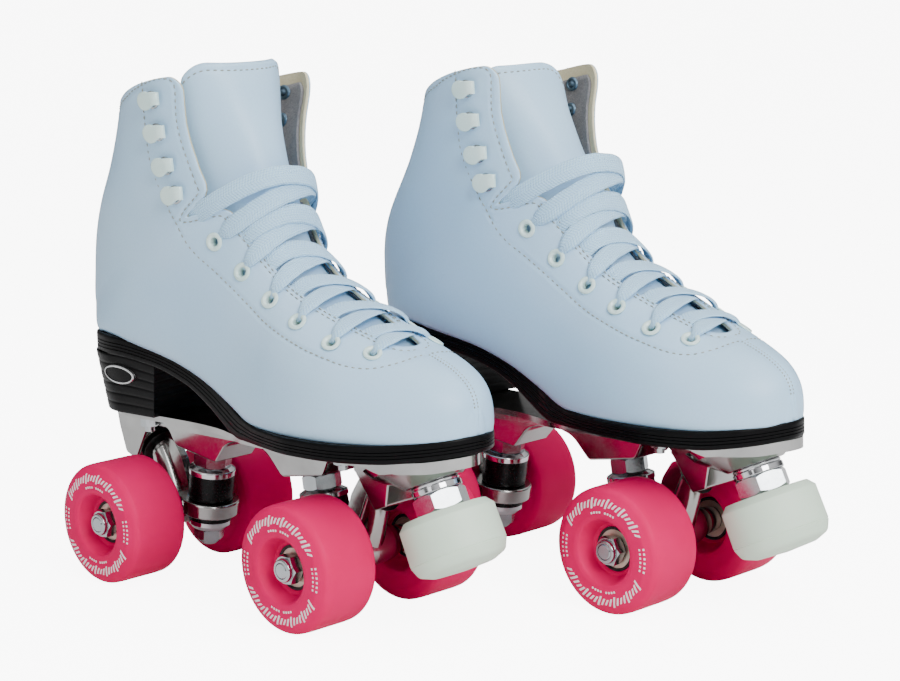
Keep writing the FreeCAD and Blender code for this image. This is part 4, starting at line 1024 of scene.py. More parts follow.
def make_back_tape(side):
    """Pale tape over the back seam, from the sole up."""
    ring = np.linspace(14.0, 21.75, 90)
    points, normals = skin(ring, 17.9999), skin_normal(ring, 17.9999)
    above = points[:, 2] > sole_top(points[:, 0]) + .2
    points, normals = points[above], normals[above]
    points[:, 1], normals[:, 1] = 0.0, 0.0
    normals = unit(normals)
    length = arc_length(points)
    lift = .12 + .05 * np.sin(length / 9.0)
    tape = Parts()
    ribbon(tape, points + normals * lift[:, None], normals, 3.6 + .1 * np.sin(length / 7.0),
           thickness=np.full_like(length, .8), bow=np.full_like(length, .25))
    tape.splay(side)
    tape.add(side, "back_seam_tape", ["edge"], slot="white_leather")


# ------------------------------------------------------------------ tongue
# Half width of the tongue: ring, millimetres.
TONGUE_WIDTH = [(4.7, 15), (5.5, 19), (7, 23), (10, 28), (13, 31.5), (16, 34.5), (20, 36),
                (23, 36.5), (25, 36.5)]
TONGUE_BASE_RING = 4.85
TONGUE_FRONT_DEPTH, TONGUE_BACK_DEPTH = 4.95, 7.7     # below the tongue's form
TONGUE_SEAM = 3.9                                     # distance of the seam from the edge


def tongue_grid(side, form, top_ring, rows, columns):
    """Ring and turn grids from the throat to the top, with the row and column spacing.

    Columns run from the lateral to the medial edge.
    """
    left = side == "left"
    ring, turn = np.zeros((rows, columns)), np.zeros((rows, columns))
    rise = np.linspace(0, 1, rows)
    rise = rise + .02 * np.sin(2 * np.pi * rise)
    across = np.linspace(-1, 1, columns)
    across = np.sign(across) * (1 - (1 - np.abs(across)) ** 1.15)
    turns = np.linspace(4.6, 13.4, 460)
    for i in range(rows):
        row_ring = TONGUE_BASE_RING + (top_ring - TONGUE_BASE_RING) * rise[i]
        y = skin(row_ring, turns, form, TONGUE_SHAFT)[:, 1]
        y = y - np.interp(row_ring, RING_INDEX, form[:, CENTRE_Y])
        order = np.argsort(y)
        lateral = medial = np.interp(row_ring, *np.array(TONGUE_WIDTH).T)
        # one side narrows towards the top
        narrow = (9.5 if left else 4.0) * np.clip((row_ring - 12) / 7, 0, 1)
        if left:
            lateral = lateral - narrow
        else:
            medial = medial - narrow
        place = np.where(across < 0, across * min(lateral, -.985 * y.min()),
                         across * min(medial, .985 * y.max()))
        turn[i] = np.interp(place, y[order], turns[order])
        ring[i] = row_ring
    # the top rows bend to a level top line with rounded corners
    for j in range(columns):
        half = abs(place[0] if across[j] < 0 else place[-1])
        corner = 22.0 if left and across[j] < 0 else 12.0
        past = abs(place[j]) - half + corner
        drop = 0 if past < 0 else corner - math.sqrt(max(0, corner ** 2 - past ** 2))
        if left:
            drop += 3.5 * across[j] ** 2
        height = TONGUE_TOP[side] - drop
        top = bisect(lambda r: skin(r, turn[-1, j], form, TONGUE_SHAFT)[2] < height,
                     15.0, 23.9, 22)
        ring[:, j] += (float(top) - top_ring) * ease((ring[:, j] - (top_ring - 3.5)) / 3.5)
    return ring, turn, rise, across


def pad_faces(rows, columns):
    """Front, back and border faces of a two-layer pad, and its border vertices."""
    front = grid_faces(rows, columns).tolist()
    n = rows * columns
    border = [i * columns for i in range(rows - 1)]
    border += [(rows - 1) * columns + j for j in range(columns - 1)]
    border += [i * columns + columns - 1 for i in range(rows - 1, 0, -1)]
    border += list(range(columns - 1, 0, -1))
    faces = [tuple(f) for f in front] + [tuple(i + n for i in f[::-1]) for f in front]
    faces += [(b, a, a + n, b + n) for a, b in zip(border, border[1:] + border[:1])]
    return faces, border


def simulate_pad(ring, turn, form):
    """Cloth run on a coarse pad with air inside: how far each front point rises."""
    rows, columns = ring.shape
    n = rows * columns
    place = (ring.ravel(), turn.ravel(), form, TONGUE_SHAFT)
    points, normals = skin(*place), skin_normal(*place)
    front, back = points - normals * 4.9, points - normals * 7.6
    faces, border = pad_faces(rows, columns)
    mesh = bpy.data.meshes.new("pad_sim")
    mesh.from_pydata([tuple(v / 1000.0) for v in np.vstack([front, back])], [], faces)
    mesh.update()
    obj = bpy.data.objects.new("pad_sim", mesh)
    scene = bpy.context.scene
    scene.collection.objects.link(obj)
    bm = bmesh.new()
    bm.from_mesh(mesh)
    bmesh.ops.recalc_face_normals(bm, faces=bm.faces)
    bm.to_mesh(mesh)
    bm.free()
    # the border and one row near the top are held on both layers
    held = border + [(rows - 4) * columns + j for j in range(columns)]
    group = obj.vertex_groups.new(name="pin")
    group.add(sorted(set(held) | {i + n for i in held}), 1.0, "REPLACE")
    cloth = obj.modifiers.new("Cloth", "CLOTH")
    settings = cloth.settings
    settings.quality = 6
    settings.mass = .2
    settings.tension_stiffness = settings.compression_stiffness = 18
    settings.bending_stiffness = .6
    settings.use_pressure = True
    settings.uniform_pressure_force = 4.0
    settings.vertex_group_mass = "pin"
    settings.effector_weights.gravity = 0
    last_frame = 20
    cloth.point_cache.frame_start, cloth.point_cache.frame_end = 1, last_frame
    for number in range(1, last_frame + 1):
        scene.frame_set(number)
    result = obj.evaluated_get(bpy.context.evaluated_depsgraph_get())
    moved = np.array([v.co[:] for v in result.data.vertices][:n]) * 1000.0
    rise = ((moved - front) * normals).sum(1)
    scene.frame_set(1)
    bpy.data.objects.remove(obj)
    return np.clip(rise, -1.0, 1.8).reshape(rows, columns)


def bilinear(grid, i, j):
    rows, columns = grid.shape
    i, j = np.clip(i, 0, rows - 1.001), np.clip(j, 0, columns - 1.001)
    a, b = np.floor(i).astype(int), np.floor(j).astype(int)
    s, t = i - a, j - b
    return (grid[a, b] * (1 - s) * (1 - t) + grid[a + 1, b] * s * (1 - t)
            + grid[a, b + 1] * (1 - s) * t + grid[a + 1, b + 1] * s * t)


def tongue_seam(to_top, from_left):
    """Grid places (row, column) of the seam: up one side, over the top, down the other."""
    rows, columns = to_top.shape
    numbers = np.arange(columns)
    lateral, medial = [], []
    for i in range(int(rows * .45), rows - 1):
        row = from_left[i]
        j = np.interp(TONGUE_SEAM, row, numbers)
        if to_top[i, int(j)] > TONGUE_SEAM:
            lateral.append((i, j))
        j = columns - 1 - np.interp(TONGUE_SEAM, row[-1] - row[::-1], numbers)
        if to_top[i, int(j)] > TONGUE_SEAM:
            medial.append((i, j))
    top = []
    for j in np.linspace(lateral[-1][1] + .6, medial[-1][1] - .6, 160):
        column = np.array([np.interp(j, numbers, to_top[i]) for i in range(rows)])
        top.append((np.interp(-TONGUE_SEAM, -column, np.arange(rows)), j))
    return np.array(lateral + top + medial[::-1], float).T


def make_tongue(side):
    form = boot_form(TONGUE_FRONT[side])
    top_ring = float(bisect(
        lambda r: skin(r, TIP_TURN, form, TONGUE_SHAFT)[2] < TONGUE_TOP[side], 15.0, 23.6, 30))
    rows, columns = 190, 60
    ring, turn, up, across = tongue_grid(side, form, top_ring, rows, columns)
    puff = np.zeros((rows, columns))
    coarse = (46, 17)
    sim_ring, sim_turn, sim_up, sim_across = tongue_grid(side, form, top_ring, *coarse)
    puffed = simulate_pad(sim_ring, sim_turn, form)
    puff = bilinear(puffed, *np.meshgrid(
        np.interp(up, sim_up, np.arange(coarse[0])),
        np.interp(across, sim_across, np.arange(coarse[1])), indexing="ij"))
    ring, turn = ring.ravel(), turn.ravel()
    points = skin(ring, turn, form, TONGUE_SHAFT)
    normals = skin_normal(ring, turn, form, TONGUE_SHAFT)
    # distance to the free edges, along the grid
    grid = points.reshape(rows, columns, 3)
    to_top = np.zeros((rows, columns))
    to_top[:-1] = np.cumsum(np.linalg.norm(np.diff(grid, axis=0), axis=2)[::-1], 0)[::-1]
    widths = np.linalg.norm(np.diff(grid, axis=1), axis=2)
    from_left = np.concatenate([np.zeros((rows, 1)), np.cumsum(widths, 1)], 1)
    to_side = np.minimum(from_left, from_left[:, -1:] - from_left)
    gap = np.minimum(to_top, to_side).ravel()

    puff = puff.ravel() * np.clip((gap - 3.6) / 3, 0, 1)
    edge = rounding(gap, 1.3)
    seam = .42 * np.exp(-((gap - TONGUE_SEAM) / .8) ** 2)
    soft = .35 * np.sin(ring * 1.3 + 1.0) * np.cos((turn - 9) * 1.1) * np.clip(gap / 12, 0, 1)
    front_depth = TONGUE_FRONT_DEPTH - puff + edge + seam + soft
    back_depth = TONGUE_BACK_DEPTH + .35 * puff - edge - seam * .8
    front = points - normals * front_depth[:, None]
    back = points - normals * back_depth[:, None]
    faces, border = pad_faces(rows, columns)
    quads = (rows - 1) * (columns - 1)
    add_mesh(side, "tongue_soft", np.vstack([front, back]), faces,
             ["leather", "felt", "leather"], [0] * quads + [1] * quads + [2] * len(border),
             slot="white_leather", replaces="tongue")

    i, j = tongue_seam(to_top, from_left)
    def on_grid(values):
        planes = values.reshape(rows, columns, 3)
        return np.stack([bilinear(planes[..., k], i, j) for k in range(3)], -1)
    parts = Parts()
    stitch_row(parts, on_grid(front), on_grid(normals), start=.5, length=2.2, gap=1.2,
               radius=.32, lift=.02, crown=(-.25, .1, .18, .1, -.25), first_corner=3)
    parts.add(side, "tongue_stitching", ["thread"])


def make_boot(side):
    verts, faces, face_materials = UPPER
    add_mesh(side, "upper_leather", splay(verts, side), faces, ["leather", "edge", "edge"],
             face_materials, slot="white_leather", replaces="boot_upper")
    verts, faces, face_materials = LINING
    add_mesh(side, "felt_lining", splay(verts, side), faces, ["felt"] * 3,
             face_materials, slot="grey_lining", replaces="boot_lining")
    make_tongue(side)
    make_stitching(side)
    make_back_tape(side)


# ------------------------------------------------------------------ eyelets, hooks, laces
def make_eyelets(side):
    profile = round_profile(
        [(2.15, -4.1), (2.75, -4.1), (2.75, -.15), (4.35, -.15, .1), (4.75, .15, .3),
         (4.3, .95, .55), (3.2, 1.1, .5), (2.2, .35, .6)], True, 5)
    parts = Parts()
    for ring, turn in EYELETS:
        for place in ((ring, turn), (ring, FULL_TURN - turn)):
            parts.put(*revolve(profile, skin(*place), skin_normal(*place), 40))
    parts.add(side, "eyelet_rings", ["enamel"], slot="white_enamel", replaces="eyelets",
              crease=50)


# Hooks: heights are above the skin, the head's outline is (forward, up).
HOOK_STEM_BACK = 1.0                  # the stem stands this far behind the hook's place
HOOK_TOP, HOOK_UNDER = 4.9, 3.5       # faces of the head's plate
HOOK_ROUND, HOOK_ROUND_X = 4.75, -2.0     # radius and centre of the head's round back
FOLD_START, FOLD_RADIUS, FOLD_ANGLE = 3.1, 2.6, 1.25
HOOK_TAB = [(.9, -3.6), (2.6, -2.4), (4.2, -1.8), (6.3, -1.9),
            (6.3, 4.4), (3.4, 4.75), (.8, 4.55)]
HOOK_STEM = round_profile([(0, -.1), (4.6, -.1), (4.6, .45, .3), (3.9, 1.0, .5),
                           (2.6, 1.15), (2.3, 3.2), (0, 3.2)], False, 4)
HOOK_WASHER = round_profile(
    [(0, 1.75), (1.1, 1.6, .4), (1.9, .85, .3), (2.3, .75), (2.6, 1.15, .3),
     (3.6, 1.05, .3), (4.25, .3, .3), (4.25, -.2), (0, -.2)], False, 4)


def hook_outline():
    """Round at the back, with a square tab in front."""
    outline = []
    for k in range(23):
        w = math.radians(62 + (298 - 62) * k / 22)
        outline.append((HOOK_ROUND_X + HOOK_ROUND * math.cos(w), HOOK_ROUND * math.sin(w)))
    return np.array(outline + HOOK_TAB)


def hook_head(origin, forward, up, normal):
    """One plate whose tab folds down towards the boot."""
    outline = hook_outline()
    centre = outline.mean(0) * .4 + np.array([HOOK_ROUND_X, 0]) * .6

    def place(scale, height):
        flat = centre + (outline - centre) * scale if scale else centre[None]
        x, y = flat.T
        angle = np.clip(x - FOLD_START, 0, None) / FOLD_RADIUS
        bent = np.minimum(angle, FOLD_ANGLE)
        straight = np.maximum(angle - FOLD_ANGLE, 0) * FOLD_RADIUS
        drop = (1 - np.cos(bent)) * FOLD_RADIUS + straight * math.sin(FOLD_ANGLE)
        x = (np.minimum(x, FOLD_START) + np.sin(bent) * FOLD_RADIUS
             + straight * math.cos(FOLD_ANGLE))
        return (origin + x[:, None] * forward + y[:, None] * up
                + (height - drop)[:, None] * normal)

    # scale of the outline and height, from the lower edge to the middle of the top
    levels = [(1.0, HOOK_UNDER), (1.0, HOOK_TOP - .35), (.965, HOOK_TOP - .08),
              (.90, HOOK_TOP)]
    levels += [(scale, HOOK_TOP + .10 * (1 - scale)) for scale in (.72, .5, .25)]
    under = (.9, .5, .25)
    verts = np.concatenate(
        [place(*level) for level in levels] + [place(0, HOOK_TOP + .1)]
        + [place(scale, HOOK_UNDER) for scale in under] + [place(0, HOOK_UNDER)])
    n = len(outline)
    faces = ring_faces(len(levels), n)
    top = len(levels) * n
    faces += [(top - n + k, top - n + (k + 1) % n, top) for k in range(n)]
    outer = 0
    for i in range(len(under)):
        inner = top + 1 + i * n
        for k in range(n):
            k2 = (k + 1) % n
            faces.append((inner + k, inner + k2, outer + k2, outer + k))
        outer = inner
    faces += [(len(verts) - 1, outer + (k + 1) % n, outer + k) for k in range(n)]
    return verts, faces


def make_hooks(side):
    parts = Parts()
    for ring, lateral_turn in HOOKS:
        for turn in (lateral_turn, FULL_TURN - lateral_turn):
            origin, normal = skin(ring, turn), skin_normal(ring, turn)
            climb = skin(ring + .3, turn) - skin(ring - .3, turn)
            climb = unit(climb - normal * (climb @ normal))
            level = unit(np.array([0, 0, 1.0]) - normal * normal[2])
            # leaned so that the tab looks level
            up = unit(level * .75 + climb * .25)
            forward = np.cross(up, normal)
            if forward[0] < 0:
                forward = -forward
            stem = origin - forward * HOOK_STEM_BACK
            parts.put(*revolve(HOOK_STEM, stem, normal, 36, closed=False), 1)
            parts.put_solid(*hook_head(origin, forward, up, normal), 0)
            # washer and domed rivet end inside the boot
            inside = stem - normal * 3.9
            parts.put(*revolve(HOOK_WASHER, inside, -normal, 36, closed=False), 2)
    parts.splay(side)
    parts.add(side, "speed_hooks", ["enamel", "zinc", "washer"], slot="white_enamel",
              replaces="lace_hooks", crease=42)


def make_lace(side):
    """Two crossing tapes from every pair of eyelets, each tucked under the far edge."""
    parts = Parts()
    rng = random.Random(11 if side == "right" else 23)
    for early in (False, True):
        for i, (ring0, turn0) in enumerate(EYELETS):
            # ends under the far edge, about half way to the next eyelet up
            if i == 0:
                ring1 = 15.35 if early else 15.0
                turn1 = 11.9
            else:
                ring1 = ring0 * .42 + EYELETS[i - 1][0] * .58
                turn1 = float(edge_turn(ring1)) + .55
            share = np.linspace(0, 1, 46)
            # one tape climbs late and the other early, so they cross near the far edge
            climb = 1 - (1 - share) ** 2.3 if early else share ** 1.8
            bend = np.exp(-share * 22)
            ring = ring0 + (ring1 - ring0) * climb + .06 * bend
            turn = turn0 + ((FULL_TURN - turn1) - turn0) * share - .10 * bend
            base, normals = skin(ring, turn), skin_normal(ring, turn)
            length = arc_length(base)
            end = length[-1]
            # height over the form, from the eyelet to the tucked end
            places = np.array([0, 2.0, 4.5, 8.0, 13.0, end * .5, end - 15, end - 10,
                               end - 6.5, end - 3, end])
            heights = np.array(
                [-2.2, .5, 1.5, 2.0, 2.2, 1.6, 1.1, .3, -1.2, -3.2, -4.4] if early else
                [-2.2, .5, 1.5, 1.8, 1.7, .9, .3, -.6, -1.9, -3.6, -4.6])
            order = np.argsort(places)
            height = np.interp(length, places[order], heights[order])
            for _ in range(10):
                height[1:-1] = (height[:-2] + 2 * height[1:-1] + height[2:]) / 4
            path = base + normals * height[:, None]
            widths = np.interp(length, [0, 1.5, 4, 8, 13, end], [2.3, 3.1, 6.2, 8.8, 9.5, 9.6])
            widths = widths + .15 * np.sin(length * .7 + rng.random() * 6)
            thickness = np.interp(length, [0, 3, 9, end], [1.7, 1.6, 1.25, 1.15])
            bow = np.interp(length, [0, 4, 10, 18, end], [.9, 1.0, .55, .25, .15])
            # laid like tiles, each lower edge over the tape below
            tilt = (.18 + .04 * (rng.random() - .5)) * np.sin(np.pi * length / end)
            across = np.cross(normals, unit(np.gradient(path, axis=0)))
            normals = normals + across * tilt[:, None]
            if early != (side == "left"):     # both boots are laced the same way round
                centre = np.interp(ring, RING_INDEX, FORM[:, CENTRE_Y])
                path[:, 1] = 2 * centre - path[:, 1]
                normals = normals * np.array([1.0, -1.0, 1.0])
            ribbon(parts, path, normals, widths, thickness, bow)
    parts.add(side, "lace_tape", ["lace"], slot="white_lace", replaces="lace")


# ------------------------------------------------------------------ sole, heel and insole
def sole_loop(per_point, inset=0.0):
    """Outline from the back tip along the medial side, and back along the lateral side."""
    medial = [(x, y) for x, _, y in SOLE_PLAN[1:]]
    lateral = [(x, y) for x, y, _ in SOLE_PLAN[:-1]]
    knots = np.array(lateral[:1] + medial + lateral[:0:-1], float)
    n = len(knots)
    loop = []
    for i in range(n):
        for q in np.arange(per_point) / per_point:
            loop.append(catmull(knots[i - 1], knots[i], knots[(i + 1) % n],
                                knots[(i + 2) % n], q))
    loop = np.array(loop)
    along = unit(np.roll(loop, -1, 0) - np.roll(loop, 1, 0))
    return loop + np.stack([along[:, 1], -along[:, 0]], -1) * inset


def sole_solid(per_point, profile, bottom, top, cross=10):
    """Solid with the sole's outline.

    profile lists (inset, share of the height, lift) from bottom to top; bottom and top give
    heights at x, and cross is how many strips each flat face has across its width.
    """
    rings = []
    for inset, share, lift in profile:
        loop = sole_loop(per_point, inset)
        low, high = bottom(loop[:, 0]), top(loop[:, 0])
        rings.append(np.column_stack([loop, low + (high - low) * share + lift]))
    n, last = len(rings[0]), len(rings) - 1
    verts = list(np.concatenate(rings))
    faces = ring_faces(len(rings), n)
    for i in (0, last):
        _, share, lift = profile[i]
        base, half = i * n, n // 2
        rows = [[base] * (cross + 1)]
        for k in range(1, half):
            a, b = base + k, base + n - k
            row = [a]
            for c in range(1, cross):
                x, y, _ = verts[a] + (verts[b] - verts[a]) * c / cross
                low, high = bottom(x), top(x)
                row.append(len(verts))
                verts.append(np.array([x, y, float(low + (high - low) * share + lift)]))
            rows.append(row + [b])
        rows.append([base + half] * (cross + 1))
        for near, far in zip(rows, rows[1:]):
            for c in range(cross):
                face = tuple(dict.fromkeys((near[c], near[c + 1], far[c + 1], far[c])))
                faces.append(face if i == 0 else face[::-1])
    return np.array(verts), faces


def make_outsole(side):
    profile = [(1.3, 0, .15), (.45, .0, .22), (.12, .03, .5), (0, .10, 0)]
    for groove in (.30, .47, .64):
        profile += [(0, groove - .030, 0), (.30, groove - .012, 0), (.38, groove, 0),
                    (.30, groove + .012, 0), (0, groove + .030, 0)]
    profile += [(0, .86, 0), (.15, .95, 0), (.55, 1.0, -.12), (1.2, 1.0, -.04)]
    parts = Parts()
    parts.put_solid(*sole_solid(10, profile, sole_bottom, sole_top))
    parts.add(side, "outsole_moulded", ["sole"], slot="sole_rubber", replaces="outsole",
              crease=48)


def heel_outline(half, back, breast):
    """Round at the back, with a hollow front face at x = breast."""
    points = []
    for i in range(41):
        w = math.pi * i / 40
        points.append((back + half * (1 - math.sin(w)), -half * math.cos(w)))
    shares = np.linspace(0, 1, 12)[1:]
    straight = [(back + half + (breast - back - half) * q, half - 1.2 * q) for q in shares]
    points += straight
    for q in np.linspace(0, 1, 22)[1:-1]:
        points.append((breast - 3.0 * math.sin(math.pi * q), (half - 1.2) * (1 - 2 * q)))
    points += [(x, -y) for x, y in straight[::-1]]
    return np.array(points)


def make_heel(side):
    """Stack of lifts that flares upwards to the sole."""
    bottom = heel_outline(half=26.2, back=-109.4, breast=-56.5)
    top = heel_outline(half=31.2, back=-115.8, breast=-47)
    bottom_z, top_z = 83.05, 120.0
    lifts = 6
    rows = [(0, .6)]     # share of the height, inset
    for k in range(lifts):
        a, b = k / lifts, (k + 1) / lifts
        rows += [(a + .004, .34), (a + .018, .05), (a + .05, 0), ((a + b) / 2, -.03),
                 (b - .05, 0), (b - .018, .05), (b - .004, .34)]
    rows.append((1, .2))
    verts = []
    for share, inset in rows:
        # the local height is where the sole's underside cuts the stack
        ring = bottom + (top - bottom) * share
        for _ in range(3):
            z = bottom_z + (sole_bottom(ring[:, 0]) + .25 - bottom_z) * share
            ring = bottom + (top - bottom) * ((z - bottom_z) / (top_z - bottom_z))[:, None]
        ring = ring - unit(ring - np.array([-82.0, 0.0])) * inset
        # stay inside the sole's edge
        ring[:, 0] = np.maximum(ring[:, 0], -113.95 + (ring[:, 1] / 31.0) ** 2 * 4)
        verts.append(np.column_stack([ring, z]))
    parts = Parts()
    parts.put_solid(np.concatenate(verts), tube_faces(len(rows), len(bottom)))
    parts.add(side, "heel_stack", ["heel"], slot="sole_rubber", replaces="heel", crease=40)


def make_heel_badge(side):
    """Plain oval badge on the heel's lateral side."""
    centre = np.array([-78.0, -29.5, 104.0])
    normal = unit([-.035, -.99, -.135])
    forward = unit(np.cross([0, 0, 1.0], normal))
    up = np.cross(normal, forward)
    # half length, half height, lift, material
    levels = [(12.5, 5.0, -1.6, 0), (12.5, 5.0, .40, 0), (12.2, 4.7, .70, 0),
              (11.5, 4.0, .70, 0), (11.2, 3.7, .40, 1), (6, 2.0, .5, 1), (.5, .3, .55, 1)]
    n = 56
    verts = []
    for half_length, half_height, lift, _ in levels:
        for i in range(n):
            x = half_length * math.cos(2 * math.pi * i / n)
            y = half_height * math.sin(2 * math.pi * i / n)
            verts.append(centre + forward * x + up * y + normal * (lift - .005 * x ** 2))
    materials = [level[3] for level in levels[1:] for _ in range(n)] + [0, 1]
    parts = Parts()
    parts.put_solid(np.array(verts), tube_faces(len(levels), n), materials)
    parts.add(side, "heel_badge", ["badge", "heel"], crease=40)


def make_insole(side):
    profile = [(9.0, 0, 4.2), (8.2, 0, 4.6), (8.0, 0, 5.4), (8.4, 0, 6.6), (9.4, 0, 7.1),
               (11, 0, 7.1)]
    parts = Parts()
    parts.put_solid(*sole_solid(6, profile, sole_top, sole_top, cross=14))
    parts.add(side, "insole_sock", ["insole"], slot="insole_board", replaces="insole")


# ------------------------------------------------------------------ wheels
ENDS = {"front": 1, "rear": -1}
AXLE_X, WHEEL_Y = 70.0, 37.0
WHEEL_RADIUS, WHEEL_HALF_WIDTH = 31.0, 17.7
BEARING_GAP, BEARING_WIDTH = 1.7, 7.0           # gap is measured from the wheel's middle
BEARING_FACE = BEARING_GAP + BEARING_WIDTH


def wheel_profile():
    """Closed (radius, offset) section, the same on both sides of the wheel's middle."""
    r, h, b = WHEEL_RADIUS, WHEEL_HALF_WIDTH, BEARING_FACE
    half = [(9.2, -BEARING_GAP), (11.0, -BEARING_GAP), (11.0, -b), (11.9, -b - .6, .3),
            (12.8, -b - .9, 1.0), (15.9, -h + .4, 1.6), (18.2, -h, 2.5), (25.2, -h, 6),
            (r - .25, -h + 2.3, 5.5), (r, -h + 7.5, 4)]
    return round_profile(half + [(p[0], -p[1], *p[2:]) for p in half[::-1]], True, 7)


WHEEL_PROFILE = wheel_profile()
WHEEL_FACE = np.array(sorted((tuple(p) for p in WHEEL_PROFILE if p[1] > 0 and p[0] > 16),
                             key=lambda p: p[0]))


def put_mark(parts, centre, outward_y, inner, outer, angle, width, slant=0.0, stations=3):
    """A printed bar on a wheel's outer face. The angle starts at the top."""
    axis = np.array([0, float(outward_y), 0])
    x_axis = np.array([-float(outward_y), 0, 0])
    z_axis = np.array([0, 0, 1.0])
    radii = np.linspace(inner, outer, stations)
    angles = angle + slant * (radii - inner) / (outer - inner)
    verts = []
    for lift in (.05, -.2):
        for radius, w in zip(radii, angles):
            height = np.interp(radius, *WHEEL_FACE.T) + lift
            radial = x_axis * math.sin(w) + z_axis * math.cos(w)
            across = (x_axis * math.cos(w) - z_axis * math.sin(w)) * (width / 2)
            middle = centre + radial * radius + axis * height
            verts += [middle - across, middle + across]
    m = 2 * stations
    faces = []
    for a in range(0, m - 2, 2):
        faces += [(a, a + 1, a + 3, a + 2), (m + a, m + a + 2, m + a + 3, m + a + 1),
                  (a, a + 2, m + a + 2, m + a), (a + 1, m + a + 1, m + a + 3, a + 3)]
    faces += [(0, m, m + 1, 1), (m - 2, m - 1, 2 * m - 1, 2 * m - 2)]
    parts.put_solid(np.array(verts), faces, 1)


def put_print(parts, *place):
    """Two fans of slanted bars, above and below, and rows of ticks."""
    for middle in (0.0, math.pi):
        for i in range(23):
            size = 1.0 - .45 * abs(math.sin(i * math.pi / 4))
            angle = middle + math.radians(-60.5 + i * 5.5) - .02
            put_mark(parts, *place, 24.2 - 2.6 * size, 24.2 + 2.4 * size, angle,
                     width=1.15, slant=.07, stations=5)
        for i in range(9):
            if i != 4:
                angle = middle + math.radians(-20 + i * 5)
                put_mark(parts, *place, 18.9, 19.9, angle, width=1.0)
    for middle in (math.pi / 2, -math.pi / 2):
        for i in range(6):
            angle = middle + math.radians(-12.5 + i * 5)
            for inner in (22.4, 24.8):
                put_mark(parts, *place, inner, inner + 1, angle, width=1.0)


def make_wheels(side):
    b = BEARING_FACE
    # black rings at the bearings' rims: partly each bearing's seal edge, partly a painted
    # shadow of the gap between bearing and wheel
    seal_shadow_profile = [(9.45, b - .04), (9.45, b + .2), (9.65, b + .3), (10.75, b + .3),
                    (10.95, b + .1), (10.95, b - .04)]
    for end, x_sign in ENDS.items():
        for hand, y_sign in (("left", 1), ("right", -1)):
            wheel = "%s_%s_wheel" % (end, hand)
            centre = np.array([x_sign * AXLE_X, y_sign * WHEEL_Y, WHEEL_RADIUS])
            parts = Parts()
            parts.put_solid(*revolve(WHEEL_PROFILE, centre, (0, 1, 0), 128))
            put_print(parts, centre, y_sign)
            seal_shadow_rings = Parts()
            for facing in (-1, 1):
                seal_shadow_rings.put_solid(*revolve(seal_shadow_profile, centre, (0, facing, 0), 96))
            seal_shadow_rings.add(side, wheel + "_bearing_seals", ["cup"], mirror=False,
                      body=wheel + "_body", slot="sole_rubber", crease=45)
            parts.add(side, wheel + "_urethane", ["wheel", "print"], mirror=False,
                      body=wheel + "_body", slot="wheel_urethane", replaces=wheel, crease=45)


# ------------------------------------------------------------------ cushions, toe stop
KINGPIN_LEAN = math.radians(8.5)
KINGPIN_X, KINGPIN_Z = 42.0, 55.0       # a point on the kingpin's line
CUSHION_BORE = 5.1
CUSHION_GAP = 3.95                      # half the space between the two cushions


def kingpin_axis(x_sign):
    """Unit vector down the kingpin."""
    return np.array([x_sign * math.sin(KINGPIN_LEAN), 0, -math.cos(KINGPIN_LEAN)])


def on_kingpin(x_sign, z):
    axis = kingpin_axis(x_sign)
    return np.array([x_sign * KINGPIN_X + axis[0] * (KINGPIN_Z - z) / -axis[2], 0, z])


def slice_across(obj, side, top, axis, height, parts=9):
    """Cuts rings into a cushion along its axis."""
    bm = bmesh.new()
    bm.from_mesh(obj.data)
    for i in range(1, parts):
        point = shared_frame(top + axis * height * i / parts, side, False)
        bmesh.ops.bisect_plane(bm, geom=bm.verts[:] + bm.edges[:] + bm.faces[:],
                               plane_co=tuple(point), plane_no=tuple(axis), dist=1e-7)
    bm.to_mesh(obj.data)
    bm.free()


def add_cushion(side, end, place, top, axis, height, profile):
    """A cushion turned from a profile about the kingpin and cut across into rings."""
    verts, faces = revolve(round_profile(profile, True, 6), top, axis, 72)
    obj = add_mesh(side, "%s_%s_cushion" % (end, place), verts, outward(verts, faces),
                   ["cushion"], mirror=False, body=None, slot="cushion_urethane",
                   replaces="cushions", crease=50)
    slice_across(obj, side, top, axis, height)
    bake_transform(obj)


def make_cushions(side):
    bore = CUSHION_BORE
    for end, x_sign in ENDS.items():
        axis = kingpin_axis(x_sign)
        middle = on_kingpin(x_sign, 35.0)
        top = on_kingpin(x_sign, 63.6 - 7.25 * -axis[2]) + axis * 1.8
        h = np.linalg.norm((middle - axis * CUSHION_GAP) - top)
        add_cushion(side, end, "upper", top, axis, h,
                    [(bore, 0), (11.2, 0, .8), (11.5, 1.6, .8), (11.75, h * .35, 4),
                     (11.75, h * .65, 4), (11.3, h, 1.0), (bore, h)])
        top = middle + axis * CUSHION_GAP
        bottom = on_kingpin(x_sign, 23.0) - axis * 3.35
        h = np.linalg.norm(bottom - top) - .05
        add_cushion(side, end, "lower", top, axis, h,
                    [(bore, 0), (10.9, 0, .8), (11.2, h * .5, 3), (10.3, h - .1, .6),
                     (10.2, h), (bore, h)])


def make_toe_stop(side):
    """Round pad on a line that slopes forwards and down."""
    slope = math.radians(24.6)
    axis = np.array([math.sin(slope), 0, -math.cos(slope)])
    origin = np.array([120.0, 0, 68.0])
    r, bore = 23.5, 7.95
    profile = round_profile(
        [(bore, 11.4), (r - 3.4, 11.4, .9), (r - .25, 14.8, 1.0), (r, 31.4, .3),
         (r - .35, 31.75, .15), (r - .1, 32.1, .2), (r - 2.3, 37.3, 4), (r - 9, 40.0, 8),
         (0, 40.8), (0, 30.2), (bore, 30.2)], False, 7)
    parts = Parts()
    parts.put_solid(*revolve(profile, origin, axis, 112))
    parts.add(side, "toe_stop_pad", ["stop"], mirror=False, body="toe_stop_body",
              slot="stop_rubber", replaces="toe_stop", crease=38)


for skate_side in ("right", "left"):
    for make in (make_boot, make_eyelets, make_hooks, make_lace, make_outsole, make_heel,
                 make_heel_badge, make_insole, make_wheels, make_cushions, make_toe_stop):
        make(skate_side)

